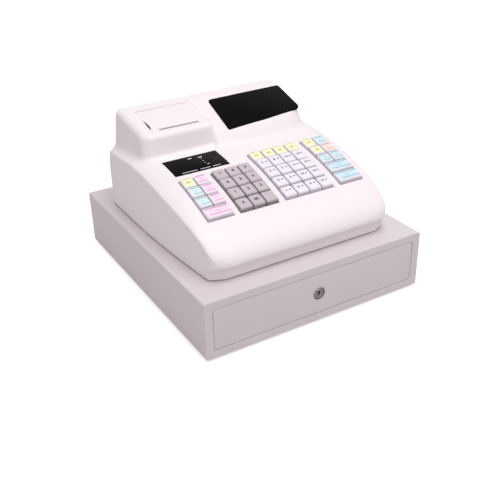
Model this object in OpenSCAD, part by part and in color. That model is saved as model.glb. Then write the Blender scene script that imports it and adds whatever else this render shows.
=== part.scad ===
// Electronic cash register with a built-in receipt printer, standing on its own cash drawer.
// Millimetres. X runs to the right seen from the front, Y to the back, Z up.
// The origin is under the middle of the drawer cabinet, on the surface its feet stand on.

/* [Drawer cabinet] */
// Width of the steel cabinet
cab_w = 330; // [320:1:360]
// Depth of the cabinet
cab_d = 370; // [355:1:400]
// Height of the cabinet without its feet
cab_h = 80.5; // [78:0.5:95]
// Thickness of the cabinet's steel sheet
sheet = 1.2; // [0.8:0.1:1.6]
// Radius of the cabinet's long folded edges
cab_edge_r = 2.5; // [2:0.1:4]
// Height of the rubber feet
foot_h = 4; // [3:0.5:8]
// Diameter of the rubber feet
foot_d = 18; // [14:1:24]
// Distance from the cabinet's sides to the middle of each foot
foot_inset = 28; // [20:1:40]

/* [Drawer] */
// Width of the cabinet's front frame beside the drawer front
frame_side = 11.6; // [10:0.1:14]
// Height of the front frame above the drawer front
frame_top = 11.1; // [9:0.1:14]
// Height of the front frame below the drawer front
frame_bottom = 10.4; // [9:0.1:14]
// Gap around the drawer front
front_gap = 1.1; // [0.8:0.1:1.5]
// Corner radius of the drawer front
front_r = 4.5; // [3:0.1:6]
// How far the drawer front stands back from the frame
front_recess = 1; // [0.6:0.1:2]
// Depth of the folded drawer front
front_depth = 12; // [10:0.5:16]
// Clear height under the drawer's floor, above the cabinet's frame opening
floor_gap = 1.2; // [0.8:0.1:2]
// Height of the drawer's sides
pan_h = 50; // [46:1:52]
// Gap between the drawer's rear wall and the cabinet's rear wall
rear_room = 34; // [32:1:50]
// Width of the flange that the drawer slides on
ledge_w = 7; // [6:0.5:8]
// Height of the sliding flange above the drawer's floor
ledge_up = 26; // [20:1:32]
// Clearance of the sliding flange on its rail
slide_gap = 0.3; // [0.3:0.05:0.5]

/* [Till tray] */
// Number of note compartments
note_count = 4; // [3:1:5]
// Number of coin cups
coin_count = 5; // [4:1:6]
// Length of the coin cups, front to back
coin_l = 88; // [70:1:110]
// Height of the tray
till_h = 42; // [36:1:44]
// Thickness of the tray's walls
till_wall = 2; // [1.5:0.1:2.5]
// Diameter of the note clips' pivot pins
clip_pin_d = 4; // [3:0.1:5]
// Width of a note clip
clip_w = 22; // [16:1:30]
// Length of a note clip from its pivot
clip_l = 64; // [56:1:80]

/* [Lock] */
// Diameter of the lock's flange
lock_d = 20; // [18:0.5:22]
// Diameter of the lock's barrel
barrel_d = 16.5; // [14:0.1:17]
// Diameter of the turning plug
plug_d = 11; // [9:0.1:12]
// Radial clearance of the plug in the barrel
plug_fit = 0.08; // [0.05:0.01:0.1]
// Length of the barrel behind the drawer front
barrel_l = 17; // [14:1:22]
// Length of the locking cam
cam_l = 35; // [33:0.5:37]

/* [Register case] */
// Widest part of the case
case_w = 294; // [290:1:300]
// Depth of the case at its foot
case_d = 283.3; // [280:0.1:290]
// Distance from the cabinet's front to the foot of the case
case_setback = 34.5; // [30:0.1:38]
// Thickness of the case's plastic walls
wall = 2.5; // [2:0.1:3]
// Height of the case's moulded pads
pad_h = 1.6; // [1.2:0.1:2.5]
// Height of the front apron, up to the parting line
apron_h = 18.5; // [16:0.1:20]
// How far the nose stands out over the apron
nose_out = 7; // [5:0.1:8]
// Height of the nose's foremost point
nose_h = 24; // [22:0.1:26]
// Radius of the rounded front corners in plan
nose_corner_r = 16; // [12:0.5:20]
// Size of the apron's corner chamfer along the side
apron_chamfer_y = 9; // [7:0.1:11]
// Size of the apron's corner chamfer along the front
apron_chamfer_x = 19; // [15:0.1:22]
// Radius of the deck's long curve
deck_r = 430; // [400:1:500]
// Height of the deck's crest above the foot of the case
deck_h = 93.9; // [90:0.1:98]
// Distance from the deck's crest to the rear of the case
crest_back = 75.5; // [70:0.1:80]
// Distance from the rear of the case to where the nose curve starts
nose_back = 244.8; // [240:0.1:250]
// Radius of the long taper of the sides in plan
side_taper_r = 1700; // [1400:10:2200]
// Distance from the rear of the case to where the side taper starts
taper_back = 72.8; // [60:0.1:90]
// Height at which the cheeks start to lean inward
lean_h = 52; // [48:1:56]
// Radius of the lean of the cheeks
lean_r = 200; // [150:5:260]
// Radius of the rounding at the rear edges
rear_r = 5.5; // [4:0.5:7]

/* [Head] */
// Height of the head's ridge above the foot of the case
head_h = 141.2; // [138:0.1:146]
// Half width of the head at its foot
head_half = 134.5; // [132:0.1:136]
// Half width of the head at its ridge
head_top_half = 129; // [126:0.1:131]
// Position of the step between printer block and display block, from the middle
step_x = -22.5; // [-26:0.1:-20]
// Distance from the rear of the case to the foot of the printer block's face
printer_foot = 96.3; // [94:0.1:98]
// Distance from the rear of the case to the top of the printer block's face
printer_brow = 89.3; // [87:0.1:91]
// Height of the top of the printer block's face
printer_brow_h = 124.4; // [122:0.1:127]
// Distance from the rear of the case to the end of the printer block's slope
printer_crest = 24; // [22:0.1:26]
// Height of the end of the printer block's slope
printer_crest_h = 138.1; // [137:0.1:139]
// Distance from the rear of the case to the foot of the display block's face
display_foot = 111.3; // [109:0.1:113]
// Distance from the rear of the case to the lower edge of the lens slope
display_brow = 98.3; // [96:0.1:100]
// Height of the lower edge of the lens slope
display_brow_h = 110.8; // [109:0.1:113]
// Distance from the rear of the case to the upper edge of the lens slope
display_crest = 27.8; // [26:0.1:30]
// Height of the upper edge of the lens slope
display_crest_h = 138.2; // [137:0.1:139]
// Thickness of the black lens and of the status window
lens_t = 2; // [1.5:0.1:2.5]
// Clearance around a lens in its seat
lens_gap = 0.2; // [0.1:0.05:0.4]
// Width of the ledge that a lens rests on
lens_ledge = 7.5; // [6.5:0.1:9]

/* [Keyboard] */
// Distance between key columns
key_px = 19.05; // [19:0.05:19.1]
// Distance between key rows
key_ps = 20.5; // [20:0.1:20.6]
// Gap between two key caps
key_gap = 0.9; // [0.7:0.05:1.2]
// Distance from the rear of the case to the front edge of the keys
keys_front = 241.5; // [240:0.1:242]
// Height of a flat key above the deck
key_rise = 4; // [3.6:0.1:5]
// Extra height of the digit keys
digit_rise = 1; // [0.5:0.1:1.5]
// Height of a key cap
cap_h = 8.5; // [8:0.1:9]
// Travel of a key
key_travel = 3; // [2:0.1:3.5]
// Width of a key's square stem
stem_w = 6; // [5:0.1:7]
// Clearance of a stem in its sleeve
stem_gap = 0.3; // [0.3:0.05:0.4]
// Thickness of the key frame
key_frame_t = 2.5; // [2:0.1:3]
// Clearance of a key block in its well
well_gap = 0.3; // [0.3:0.05:0.5]

/* [Printer] */
// Width of the printer cover
cover_w = 82; // [80:0.5:84]
// Length of the printer cover up the slope
cover_l = 61.5; // [60.5:0.5:63]
// Distance from the cover's right edge to the step
cover_step = 4.5; // [3:0.1:6]
// Gap around the printer cover
cover_gap = 0.5; // [0.4:0.05:0.8]
// Thickness of the printer cover
cover_t = 2.5; // [2:0.1:3]
// Width of the paper slot
slot_w = 61.5; // [60:0.5:64]
// Height of the paper slot
slot_t = 1.8; // [1.4:0.1:2.4]
// Distance from the cover's front edge to the paper slot
slot_back = 6; // [5:0.1:8]
// Diameter of the cover's hinge pins
hinge_d = 2.6; // [2:0.1:3]
// Radial clearance of running pins
pin_fit = 0.08; // [0.05:0.01:0.1]
// Width of the paper roll
paper_w = 57; // [56:0.5:58]
// Diameter of the paper roll
paper_d = 50; // [40:1:51]
// Diameter of the roll's cardboard core
core_d = 12.7; // [10:0.1:17]
// Diameter of the platen roller
platen_d = 10; // [8:0.1:12]

/* [Hidden] */
$fn = 48;
eps = 0.01;
// Clearance between mouldings that close on each other
fit = 0.3;

// ---- places worked out from the sizes ----
cab_z = foot_h;
cab_top = foot_h + cab_h;
cab_front = -cab_d / 2;
case_z = cab_top;
case_front = cab_front + case_setback;
case_back = case_front + case_d;
nose_y = case_front - nose_out;
crest_y = case_back - crest_back;
floor_t = wall;
floor_h = pad_h + floor_t;

// Height of the deck's middle above the foot of the case, at any y behind the nose curve
function deck_at(y) = y >= crest_y ? deck_h
    : deck_h - deck_r + sqrt(deck_r * deck_r - (y - crest_y) * (y - crest_y));
// Slope of the deck there, in degrees
function deck_slope(y) = y >= crest_y ? 0 : asin((crest_y - y) / deck_r);
function mix(a, b, t) = a + (b - a) * t;
function unit(v) = v / norm(v);

// Polygon with each corner rounded: corners holds [x, y, radius]
corner_steps = 5;
function rounded(corners) = [
    for (i = [0 : len(corners) - 1])
        let (n = len(corners), p = corners[i], r = p[2],
             c = [p[0], p[1]],
             a = unit([corners[(i + n - 1) % n][0], corners[(i + n - 1) % n][1]] - c),
             b = unit([corners[(i + 1) % n][0], corners[(i + 1) % n][1]] - c),
             half = acos(a * b) / 2)
        each r <= 0 ? [c]
            : let (mid = c + unit(a + b) * r / sin(half),
                   p0 = c + a * r / tan(half), p1 = c + b * r / tan(half),
                   a0 = atan2((p0 - mid)[1], (p0 - mid)[0]),
                   a1 = atan2((p1 - mid)[1], (p1 - mid)[0]),
                   turn = ((a1 - a0 + 540) % 360) - 180)
              [for (k = [0 : corner_steps]) let (a = a0 + turn * k / corner_steps) mid + r * [cos(a), sin(a)]]
];

// Rectangle with true round corners, centred
module rrect(w, h, r) {
    square([w - 2 * r, h], center = true);
    square([w, h - 2 * r], center = true);
    for (x = [-1, 1], y = [-1, 1])
        translate([x * (w / 2 - r), y * (h / 2 - r)]) circle(r);
}

// Extrudes a drawing made in X and Z along Y, from y0 to y1
module along_y(y0, y1) {
    translate([0, y1, 0]) rotate([90, 0, 0]) linear_extrude(y1 - y0) children();
}

// Extrudes a drawing made in Y and Z along X, from x0 to x1
module along_x(x0, x1) {
    translate([x0, 0, 0]) rotate([90, 0, 90]) linear_extrude(x1 - x0) children();
}

// Rod along X, from x0 to x1
module rod_x(d, x0, x1) {
    translate([x0, 0, 0]) rotate([0, 90, 0]) cylinder(d = d, h = x1 - x0);
}

// Box from its lowest to its highest corner
module span(lo, hi) {
    translate(lo) cube(hi - lo);
}

// ---------------------------------------------------------------- cabinet
open_w = cab_w - 2 * frame_side + 2 * front_gap;
open_h = cab_h - frame_top - frame_bottom + 2 * front_gap;
open_z = cab_z + frame_bottom + (cab_h - frame_top - frame_bottom) / 2;
front_w = open_w - 2 * front_gap;
front_h = open_h - 2 * front_gap;
fold_depth = front_depth + 2;
rail_t = 1.5;
rail_wall_h = 12;
ledge_t = 1.2;
pan_half = front_w / 2 - ledge_w;
pan_z = open_z - open_h / 2 + floor_gap;
rail_top = pan_z + ledge_up - slide_gap;
rail_in = pan_half + 1.5;
cab_inner = cab_w / 2 - sheet;
rivet_d = 6;
rivet_l = 4;

module cabinet_shell() color("#efe6e7") {
    difference() {
        along_y(cab_front, -cab_front)
            translate([0, cab_z + cab_h / 2]) rrect(cab_w, cab_h, cab_edge_r);
        along_y(cab_front + sheet, -cab_front - sheet)
            translate([0, cab_z + cab_h / 2])
                rrect(cab_w - 2 * sheet, cab_h - 2 * sheet, cab_edge_r - sheet);
        along_y(cab_front - 1, cab_front + 2 * sheet)
            translate([0, open_z]) rrect(open_w, open_h, front_r + front_gap);
        for (x = [-1, 1], y = [-1, 1])
            translate([x * (cab_w / 2 - foot_inset), y * (cab_d / 2 - foot_inset), cab_z - 1])
                cylinder(d = rivet_d, h = sheet + 2);
    }
    // fold around the drawer opening
    along_y(cab_front + sheet - eps, cab_front + fold_depth)
        translate([0, open_z]) difference() {
            rrect(open_w + 2 * sheet, open_h + 2 * sheet, front_r + front_gap + sheet);
            rrect(open_w, open_h, front_r + front_gap);
        }
    // rails welded to the side walls
    for (side = [0, 1]) mirror([side, 0, 0]) {
        span([rail_in, cab_front + fold_depth, rail_top - rail_t],
             [cab_inner + eps, -cab_front - sheet + eps, rail_top]);
        span([cab_inner - rail_t, cab_front + fold_depth, rail_top - rail_wall_h],
             [cab_inner + eps, -cab_front - sheet + eps, rail_top - eps]);
    }
}

module cabinet_feet() color("#2b2a2c")
    for (x = [-1, 1], y = [-1, 1])
        translate([x * (cab_w / 2 - foot_inset), y * (cab_d / 2 - foot_inset), 0]) {
            rotate_extrude() polygon([
                [0, 1], [foot_d / 4, 1], [foot_d / 4, 0], [foot_d / 2 - 0.5, 0],
                [foot_d / 2, foot_h], [rivet_d / 2 - 0.1, foot_h],
                [rivet_d / 2 - 0.1, foot_h + rivet_l - 1], [0, foot_h + rivet_l - 1]]);
        }

// ---------------------------------------------------------------- drawer
front_y = cab_front + front_recess;
pan_y0 = front_y + front_depth;
pan_y1 = -cab_front - sheet - rear_room;
pan_t = 1;
striker_w = 24;
striker_l = 13;
striker_t = 2;
striker_z = pan_z + 4;
hook_w = 10;
hook_t = 2;
hook_back = 6;

module drawer_pan() color("#c9c3c6") {
    difference() {
        span([-pan_half, pan_y0, pan_z], [pan_half, pan_y1, pan_z + pan_h]);
        span([-pan_half + pan_t, pan_y0 + pan_t, pan_z + pan_t],
             [pan_half - pan_t, pan_y1 - pan_t, pan_z + pan_h + 1]);
        translate([0, pan_y0 + pan_t / 2, open_z]) rotate([90, 0, 0])
            cylinder(d = barrel_d + 2, h = pan_t + 2, center = true);
    }
    for (side = [0, 1]) mirror([side, 0, 0])
        span([pan_half - eps, pan_y0, pan_z + ledge_up],
             [pan_half + ledge_w, pan_y1, pan_z + ledge_up + ledge_t]);
    // tab with a window that the latch's hook rises into
    difference() {
        span([-striker_w / 2, pan_y1 - eps, striker_z],
             [striker_w / 2, pan_y1 + striker_l, striker_z + striker_t]);
        span([-hook_w / 2 - 2, pan_y1 + hook_back - 2, striker_z - 1],
             [hook_w / 2 + 2, pan_y1 + hook_back + hook_t + 2, striker_z + striker_t + 1]);
    }
}

module drawer_front() color("#f0e7e8") difference() {
    union() {
        difference() {
            along_y(front_y, pan_y0)
                translate([0, open_z]) rrect(front_w, front_h, front_r);
            along_y(front_y + sheet, pan_y0 + 1)
                translate([0, open_z]) rrect(front_w - 2 * sheet, front_h - 2 * sheet, front_r - sheet);
        }
        // boss that carries the lock
        translate([0, pan_y0, open_z]) rotate([90, 0, 0])
            cylinder(d = lock_d + 4, h = front_depth - sheet / 2);
    }
    translate([0, front_y - 1, open_z]) rotate([-90, 0, 0])
        cylinder(d = barrel_d + 2 * lens_gap, h = front_depth + 4);
}

// ---------------------------------------------------------------- till tray
till_gap = 0.6;
till_half = pan_half - pan_t - till_gap;
till_y0 = pan_y0 + pan_t + barrel_l - front_depth + 8 + till_gap;
till_y1 = pan_y1 - pan_t - till_gap;
till_z = pan_z + pan_t + eps;
till_floor = 2;
note_w = (2 * till_half - (note_count + 1) * till_wall) / note_count;
coin_w = (2 * till_half - (coin_count + 1) * till_wall) / coin_count;
coin_y1 = till_y0 + till_wall + coin_l;
note_y0 = coin_y1 + till_wall;
clip_y = till_y1 - till_wall - 8;
clip_z = till_z + till_h - 6;
lug_t = 2.5;
clip_t = 2;
clip_sleeve_d = 7;
clip_roller_d = 5;
clip_inset = 1;
clip_slope = asin((clip_z - till_z - till_floor - clip_roller_d / 2 - slide_gap) / clip_l);

module till_insert() color("#36363b") {
    difference() {
        span([-till_half, till_y0, till_z], [till_half, till_y1, till_z + till_h]);
        translate([till_wall - till_half, 0, till_z + till_floor]) {
            for (i = [0 : coin_count - 1])
                translate([i * (coin_w + till_wall), till_y0 + till_wall, 0]) cube([coin_w, coin_l, till_h]);
            for (i = [0 : note_count - 1])
                translate([i * (note_w + till_wall), note_y0, 0])
                    cube([note_w, till_y1 - till_wall - note_y0, till_h]);
        }
    }
    // lugs that hold the clips' pins
    for (i = [0 : note_count - 1], side = [-1, 1])
        translate([note_x(i) + side * (clip_w / 2 + lug_t / 2 + slide_gap), clip_y, clip_z])
            difference() {
                translate([-lug_t / 2, -clip_pin_d, -clip_pin_d - 2])
                    cube([lug_t, till_y1 - till_wall - clip_y + clip_pin_d + eps, 2 * clip_pin_d + 2]);
                rod_x(clip_pin_d + 2 * pin_fit, -lug_t, lug_t);
            }
}

function note_x(i) = -till_half + till_wall + note_w / 2 + i * (note_w + till_wall);

module bill_clips() color("#3f3f45")
    for (i = [0 : note_count - 1])
        translate([note_x(i), clip_y, clip_z]) {
            rod_x(clip_pin_d, -clip_w / 2 - slide_gap - lug_t, clip_w / 2 + slide_gap + lug_t);
            rod_x(clip_sleeve_d, -clip_w / 2, clip_w / 2);
            rotate([clip_slope, 0, 0]) {
                span([clip_inset - clip_w / 2, -clip_l, -clip_t / 2],
                     [clip_w / 2 - clip_inset, 0, clip_t / 2]);
                translate([0, -clip_l, 0]) rod_x(clip_roller_d, -clip_w / 2, clip_w / 2);
            }
        }

// ---------------------------------------------------------------- lock
plug_l = barrel_l + front_recess + 2;
lock_y = front_y - front_recess;
cam_t = 2;
keyway_w = 1.8;
keyway_h = 5.2;
keyway_l = 7;

module lock_housing() color("#b9bcc0") translate([0, 0, open_z]) rotate([-90, 0, 0]) difference() {
    union() {
        translate([0, 0, lock_y]) cylinder(d = lock_d, h = front_recess);
        translate([0, 0, lock_y + front_recess - eps]) cylinder(d = barrel_d, h = barrel_l);
    }
    translate([0, 0, lock_y - 1]) cylinder(d = plug_d + 2 * plug_fit, h = barrel_l + front_recess + 2);
}

module lock_plug() color("#c8cbd0") translate([0, lock_y, open_z]) difference() {
    union() {
        rotate([-90, 0, 0]) cylinder(d = plug_d, h = plug_l);
        // cam behind the barrel
        translate([-plug_d / 2, barrel_l + front_recess + slide_gap, -plug_d / 2])
            cube([cam_l + plug_d / 2, cam_t, plug_d]);
    }
    // keyway: a slot with a round widening above its middle
    translate([-keyway_w / 2, -1, -keyway_h / 2]) cube([keyway_w, keyway_l, keyway_h]);
    translate([0, -1, keyway_w]) rotate([-90, 0, 0]) cylinder(d = 2 * keyway_w - 0.2, h = keyway_l);
}

// ---------------------------------------------------------------- latch
latch_z = cab_z + sheet;
latch_y1 = -cab_front - sheet;
latch_half = 40;
latch_foot_l = 22;
latch_wall_h = 34;
latch_t = 1.5;
coil_d = 17;
coil_l = 34;
coil_y = latch_y1 - 11;
coil_z = latch_z + 14;
spring_d = 12;
spring_x = 46;
spring_up = 30;
yoke_t = 2;
plunger_d = 7;
plunger_l = 14;

module latch_unit() color("#9a9ca2") {
    span([-latch_half, latch_y1 - latch_foot_l, latch_z], [latch_half, latch_y1, latch_z + latch_t]);
    span([-latch_half, latch_y1 - latch_t, latch_z], [latch_half, latch_y1, latch_z + latch_wall_h]);
    // solenoid coil with its yoke and plunger
    translate([0, coil_y, coil_z]) rod_x(coil_d, -coil_l, 0);
    for (x = [-coil_l - yoke_t, 0])
        span([x, coil_y - coil_d / 2, latch_z + 1], [x + yoke_t, latch_y1 - 1, coil_z + coil_d / 2 + 2]);
    translate([0, coil_y, coil_z]) rod_x(plunger_d, 0, plunger_l);
    // hook lever in its released place, just under the drawer's tab
    span([-hook_w / 2, pan_y1 + hook_back, latch_z],
         [hook_w / 2, latch_y1 - latch_foot_l + 2, latch_z + hook_t]);
    span([-hook_w / 2, pan_y1 + hook_back, latch_z],
         [hook_w / 2, pan_y1 + hook_back + hook_t, striker_z - slide_gap]);
    // spring that pushes the drawer out, held compressed
    for (side = [-1, 1])
        translate([side * spring_x, latch_y1 - rear_room + slide_gap, latch_z + spring_up])
            rotate([-90, 0, 0]) difference() {
                cylinder(d = spring_d, h = rear_room - slide_gap);
                translate([0, 0, -1]) cylinder(d = spring_d - 3, h = rear_room - slide_gap - 1);
            }
}

// ---------------------------------------------------------------- case outlines
function taper_at(y) = let (d = case_back - taper_back - y)
    d <= 0 ? 0 : side_taper_r - sqrt(side_taper_r * side_taper_r - d * d);
function side_at(y) = case_w / 2 - taper_at(y);
corner_y = nose_y + nose_corner_r;
function corner_at(y) = y >= corner_y ? 0
    : nose_corner_r - sqrt(max(0, nose_corner_r * nose_corner_r - (corner_y - y) * (corner_y - y)));
function lean_at(h) = h <= lean_h ? 0 : lean_r - sqrt(lean_r * lean_r - (h - lean_h) * (h - lean_h));

// Nose curve: a cubic curve from the deck to the foremost point
nose_y0 = case_back - nose_back;
nose_fall = deck_slope(nose_y0);
nose_k = 0.62;
nose_a = [nose_y0, deck_at(nose_y0)];
nose_reach = (nose_y0 - nose_y) / cos(nose_fall);
nose_corner_h = nose_a[1] - nose_reach * sin(nose_fall);
nose_b = nose_a + nose_k * nose_reach * [-cos(nose_fall), -sin(nose_fall)];
nose_c = [nose_y, mix(nose_h, nose_corner_h, nose_k)];
nose_d = [nose_y, nose_h];
function nose_at(t) = pow(1 - t, 3) * nose_a + 3 * t * pow(1 - t, 2) * nose_b
    + 3 * t * t * (1 - t) * nose_c + pow(t, 3) * nose_d;
function nose_dir(t) = unit((1 - t) * (1 - t) * (nose_b - nose_a)
    + 2 * t * (1 - t) * (nose_c - nose_b) + t * t * (nose_d - nose_c));

// Side outlines of the two blocks of the head, as [y, height] with y rising; i moves them inward
sink = 30;
ridge_r = 8;
function face_under(foot_y, brow_y, brow_h) =
    foot_y - (brow_y - foot_y) * sink / (brow_h - deck_h);
// A face is [foot, brow, height of the brow, its radius], and a crest is [place, height, radius]
function block_line(face, crest, i) = rounded([
    [face_under(case_back - face[0], case_back - face[1], face[2]) + i, deck_h - sink, 0],
    [case_back - face[1] + i, face[2] - i, face[3]],
    [case_back - crest[0], crest[1] - i, crest[2]],
    [case_back - i, head_h - i, ridge_r - i],
    [case_back - i, deck_h - sink, 0]]);
printer_brow_r = 9;
printer_crest_r = 40;
display_brow_r = 3;
display_crest_r = 12;
function printer_line(i) = block_line([printer_foot, printer_brow, printer_brow_h, printer_brow_r],
    [printer_crest, printer_crest_h, printer_crest_r], i);
function display_line(i) = block_line([display_foot, display_brow, display_brow_h, display_brow_r],
    [display_crest, display_crest_h, display_crest_r], i);

// Half width of the head where it stands on the deck; side is 1 on the right and -1 on the left
corner_right = [44, 25];
corner_left = [14, 14];
function foot_corner(y, side, i) =
    let (c = side > 0 ? corner_right : corner_left,
         d = min(c[1], case_back - (side > 0 ? display_foot : printer_foot) + i + c[1] - y))
    d <= 0 ? 0 : c[0] * (1 - sqrt(max(0, 1 - d * d / (c[1] * c[1]))));

// One half of a cross-section, as [x, height] from the foot to the step; trim rounds the rear edges
cheek_levels = [0, 0.5, 0.68, 0.84, 1];
shoulder_drop = 12.5;
shoulder_mid = 8;
shoulder_nose = 3;
// How far the shoulder falls, from the nose over the keys to the rear
SHOULDER_FALL = [[nose_y0, shoulder_nose], [nose_y0 + 3.5 * key_ps, shoulder_mid],
    [crest_y, shoulder_mid], [case_back, shoulder_drop]];
step_half = 0.5;
head_draft = (head_half - head_top_half) / (head_h - deck_h);
// Points of the shoulder, beside the head and where the deck is free: [in from the edge, down from the top]
SHOULDER_OUT = [[2.4, 5.6], [9, 3.5]];
SHOULDER_IN = [[5, 0.7], [24, 0]];
// Fillet at the head's foot: how far it stands out and in, and the heights of its points
fillet_out = 1.2;
fillet_in = 0.8;
fillet_h = [5.5, 15.5];
ledge_beside_head = 3;
function half_ring(y, side, top, low, head, i, trim) =
    let (drop = min(lookup(y, SHOULDER_FALL), (top - low) * 0.45), k = drop / shoulder_drop,
         half = side_at(y) - corner_at(y) - i - trim, crease = top - drop,
         edge = half - lean_at(crease), g = max(0, head - top),
         cut = foot_corner(y, side, i), open = cut / (side > 0 ? corner_right : corner_left)[0],
         outer = mix(SHOULDER_OUT[0], SHOULDER_OUT[1], open) * k,
         inner = mix(SHOULDER_IN[0], SHOULDER_IN[1], open) * k,
         foot = min(head_half - i - trim - cut, edge - inner[0] - ledge_beside_head),
         wall_x = foot - fillet_out - head_draft * max(0, g - 3 * ridge_r), rise = min(ridge_r, 0.3 * g))
    concat([for (l = cheek_levels) let (h = mix(low, crease, l)) [half - lean_at(h), h]],
           [[edge - outer[0], top - outer[1]], [edge - inner[0], top - inner[1]],
            [foot + fillet_out, top + min(fillet_h[0], 0.3 * g)],
            [foot - fillet_in, top + min(fillet_h[1], 0.5 * g)]],
           [for (a = [0 : 30 : 90]) [wall_x - ridge_r * (1 - cos(a)), top + g - rise * (1 - sin(a))]],
           [[side * (step_x - i) + step_half, top + g]]);

function head_at(y, line) = y <= line[0][0] ? 0 : lookup(y, line);

// One whole cross-section as a ring of points; foot_y is where its two lowest points lie
function ring(y, top, low, i, trim, foot_y) =
    let (r = half_ring(y, 1, top, low, head_at(y, display_line(i)) - trim, i, trim),
         l = half_ring(y, -1, top, low, head_at(y, printer_line(i)) - trim, i, trim),
         n = len(r) - 1)
    concat([for (k = [0 : n]) [r[k][0], k == 0 ? foot_y : y, case_z + r[k][1]]],
           [for (k = [n : -1 : 0]) [-l[k][0], k == 0 ? foot_y : y, case_z + l[k][1]]]);

nose_ts = [1, 0.92, 0.82, 0.7, 0.56, 0.42, 0.28, 0.14, 0];
deck_steps = 6;
tip_half = 0.9;
lip_y = case_front + 2.2;
function nose_low(y) = y < case_front ? apron_h + (nose_h - apron_h) * (case_front - y) / nose_out : pad_h;
function nose_ring(t, i) =
    let (p = nose_at(t), d = nose_dir(t), q = p + i * [-d[1], d[0]],
         low = i > 0 ? (q[0] < lip_y ? apron_h + eps : pad_h) : min(nose_low(p[0]), q[1] - tip_half))
    ring(q[0], q[1] + (t == 1 ? tip_half : 0), low, i, 0, i > 0 ? max(q[0], lip_y) : q[0]);

// Distances of the head's cross-sections from the rear of the case
last_mark = 20;
HEAD_MARKS = concat(
    [for (t = [0 : 0.25 : 1]) mix(display_foot + 1, display_brow + 1.5, t)],
    [for (t = [0 : 0.2 : 1]) mix(printer_foot + 0.7, printer_brow - 3, t)],
    [for (t = [0.2 : 0.2 : 1]) mix(printer_brow - 3, display_crest + 5, t)],
    [display_crest, last_mark]);

// Cross-sections of the case from nose to rear; i moves every face inward
function case_rings(i) = concat(
    [for (t = nose_ts) nose_ring(t, i)],
    [for (k = [1 : deck_steps]) let (y = mix(nose_y0, case_back - display_foot - 3, k / deck_steps))
        ring(y, deck_at(y) - i, pad_h, i, 0, y)],
    [for (m = HEAD_MARKS) let (y = case_back - m + i * min(1, (m - last_mark) / last_mark))
        ring(y, deck_at(y) - i, pad_h, i, 0, y)],
    [for (a = [0 : 30 : 90]) let (y = case_back - i - ridge_r * (1 - sin(a)), trim = rear_r * (1 - cos(a)))
        ring(y, deck_h - i - trim, pad_h, i, trim, y)]);

// Wall between two lists of rings with equal numbers of points. Each ring is open at its foot, both
// lists close at their ends on a point in the end's middle, and a rim joins them around the foot.
function ring_middle(r) = [0, r[len(r) / 2][1], (r[0][2] + r[len(r) / 2][2]) / 2];
function quad(a, b, c, d) = [[a, b, c], [a, c, d]];
function turned(faces, turn) = turn ? [for (f = faces) [f[0], f[2], f[1]]] : faces;
function loft_faces(n, m, base, middle, turn) = turned(concat(
    [for (k = [0 : m - 1]) [base + k, base + (k + 1) % m, middle]],
    [for (i = [0 : n - 2], k = [0 : m - 2]) let (a = base + i * m + k) each quad(a, a + m, a + m + 1, a + 1)],
    [for (k = [0 : m - 1]) [base + (n - 1) * m + k, middle + 1, base + (n - 1) * m + (k + 1) % m]]), turn);
module shell(outer, inner) {
    n = len(outer);
    m = len(outer[0]);
    base = n * m;
    middle = 2 * base;
    points = concat([for (r = outer) each r], [for (r = inner) each r],
        [for (r = [outer[0], outer[n - 1], inner[0], inner[n - 1]]) ring_middle(r)]);
    rim = concat(
        [for (i = [0 : n - 2]) each quad(i * m, base + i * m, base + (i + 1) * m, (i + 1) * m)],
        [for (i = [0 : n - 2])
            each quad(i * m + m - 1, (i + 1) * m + m - 1, base + (i + 1) * m + m - 1, base + i * m + m - 1)],
        quad(0, m - 1, base + m - 1, base),
        quad((n - 1) * m, base + (n - 1) * m, base + n * m - 1, n * m - 1));
    polyhedron(points, concat(loft_faces(n, m, 0, middle, true), loft_faces(n, m, base, middle + 2, false),
        turned(rim, true)));
}

// Plan outline of the case's foot, with chamfered corners; i moves it inward
plan_steps = 8;
function foot_plan(i) =
    let (y0 = case_front + apron_chamfer_y, y1 = case_back - i - ridge_r,
         x0 = side_at(y0) - apron_chamfer_x - i / 3, x1 = side_at(case_back) - i - rear_r)
    concat([for (k = [0 : plan_steps]) let (y = mix(y0, y1, k / plan_steps)) [side_at(y) - i, y]],
           [[x1, case_back - i], [-x1, case_back - i]],
           [for (k = [plan_steps : -1 : 0]) let (y = mix(y0, y1, k / plan_steps)) [i - side_at(y), y]],
           [[-x0, case_front + i], [x0, case_front + i]]);

// ---------------------------------------------------------------- key plane
keys_y = case_back - keys_front;
key_rows = 5;
keys_run = key_rows * key_ps * 0.96;
key_slope = atan((deck_at(keys_y + keys_run) - deck_at(keys_y)) / keys_run);

// Places children on the key plane: x, then up the slope, then out of the deck
module on_keys() {
    translate([0, keys_y, case_z + deck_at(keys_y)]) rotate([key_slope, 0, 0]) children();
}
// Height of the deck over the key plane at a distance s up the slope
function bulge(s) = let (y = keys_y + s * cos(key_slope))
    (deck_at(y) - deck_at(keys_y) - s * sin(key_slope)) / cos(key_slope);

// Key blocks: [middle x, columns, rows]
LEFT = [-95.55, 2, 4];
DIGITS = [-39.3, 3, 4];
DEPARTMENTS = [37.6, 4, 5];
RIGHT = [104.95, 2, 5];
BLOCKS = [LEFT, DIGITS, DEPARTMENTS, RIGHT];
function col_x(b, c) = b[0] + (c - (b[1] - 1) / 2) * key_px;

YELLOW = "#f3efb0";
CYAN = "#c9eeec";
PINK = "#f3cbe6";
BLUE = "#c4e2f2";
RED = "#f2c4bd";
GREY = "#c9bcc4";
WHITE = "#f2edf5";
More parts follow.
